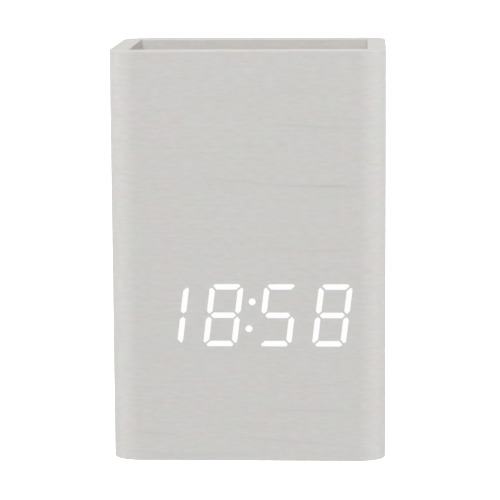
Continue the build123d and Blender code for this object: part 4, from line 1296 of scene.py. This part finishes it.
for number, (y, side) in enumerate(cell_rows):
    tip = (high.x if side > 0 else low.x, y, cell_z)
    for part, profile, material, slot in cell_parts:
        name = f"cell_{number}_{part}"
        cell_mesh = turned_mesh(name, profile, tip, (-side, 0, 0), cell_steps)
        smooth_below(cell_mesh, cell_crease)
        add_piece(name, cell_mesh, material, "case", slot, "battery_cells")


# Each cell is held between a nickel plated contact plate and a coil spring wound from round wire,
# which narrows towards the cell. Two of the plates have a tab that takes a lead.
soften(nickel, 0.06 * mm, "case", "spring_steel", "contact_plates")
spring_tree, spring = new_tree(
    "cone_spring",
    base_radius=3.5 * mm,
    tip_radius=2.3 * mm,
    length=5.5 * mm,
    wire_radius=0.25 * mm,
    turns=5.5,
    flat_share=0.16,
)
spiral = {
    "Resolution": 40,
    "Rotations": spring["turns"],
    "Start Radius": spring["base_radius"],
    "End Radius": spring["tip_radius"],
    "Height": 1.0,
}
spiral = made_by(spring_tree, "GeometryNodeCurveSpiral", spiral)
x, y, share = axes_of(made_by(spring_tree, "GeometryNodeInputPosition"))
spring_rise = {
    "Value": share,
    "From Min": spring["flat_share"],
    "From Max": spring["flat_share"] * -1.0 + 1.0,
    "To Min": spring["wire_radius"],
    "To Max": spring["length"] - spring["wire_radius"],
}
spring_rise = made_by(
    spring_tree, "ShaderNodeMapRange", spring_rise, interpolation_type="SMOOTHSTEP"
)
wound = {"Geometry": spiral, "Position": vector_of(x, y, Level(spring_rise))}
wound = made_by(spring_tree, "GeometryNodeSetPosition", wound)
wire_section = {"Resolution": 12, "Radius": spring["wire_radius"]}
wire_section = made_by(spring_tree, "GeometryNodeCurvePrimitiveCircle", wire_section)
wire = {"Curve": wound, "Profile Curve": wire_section, "Fill Caps": True}
end_tree(made_by(spring_tree, "GeometryNodeCurveToMesh", wire), nickel)
low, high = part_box("battery_springs")
spring_places = [
    ((low.x if side > 0 else high.x, y, cell_z), (0, side * quarter, 0)) for y, side in cell_rows
]
spring_mesh = repeat_at("cone_springs", spring_places, spring_tree)
spring_mesh.shade_smooth()
add_piece("cone_springs", spring_mesh, nickel, "case", "spring_steel", "battery_springs")


# The battery leads rise from the tabs of the plates and run up to their socket, the red one from
# the positive end. Both are fixed at their two ends inside the case.
lead_radius, lead_rise, lead_spacing = 0.6 * mm, 7.58 * mm, 2.5 * mm
tab_x, tab_z = 25.25 * mm, 17.8 * mm
plug_x, plug_y, plug_z = 4.0 * mm, 12.8 * mm, 28.62 * mm
red_rubber = moulded("red_insulation", (176, 34, 30), 0.4, 0.4 * mm, 0.004 * mm, 0.06)
black_rubber = moulded("black_insulation", (34, 34, 35), 0.42, 0.4 * mm, 0.004 * mm, 0.06)
for name, material, side in (("red", red_rubber, 1), ("black", black_rubber, -1)):
    tab = (side * tab_x, -side * cell_pitch)
    plug = (plug_x + side * lead_spacing / 2, plug_y)
    lead_route = [
        (*tab, tab_z),
        (*tab, tab_z + lead_rise),
        (*plug, plug_z - lead_rise),
        (*plug, plug_z),
    ]
    line = wire_line(name + "_lead_wire", lead_route)
    line.bevel_depth, line.bevel_resolution = lead_radius, 3
    lead_mesh = plain_mesh(new_object(name + "_lead", line))
    lead_mesh.shade_smooth()
    add_piece(name + "_lead_wire", lead_mesh, material, "case", name + "_wire", name + "_lead")
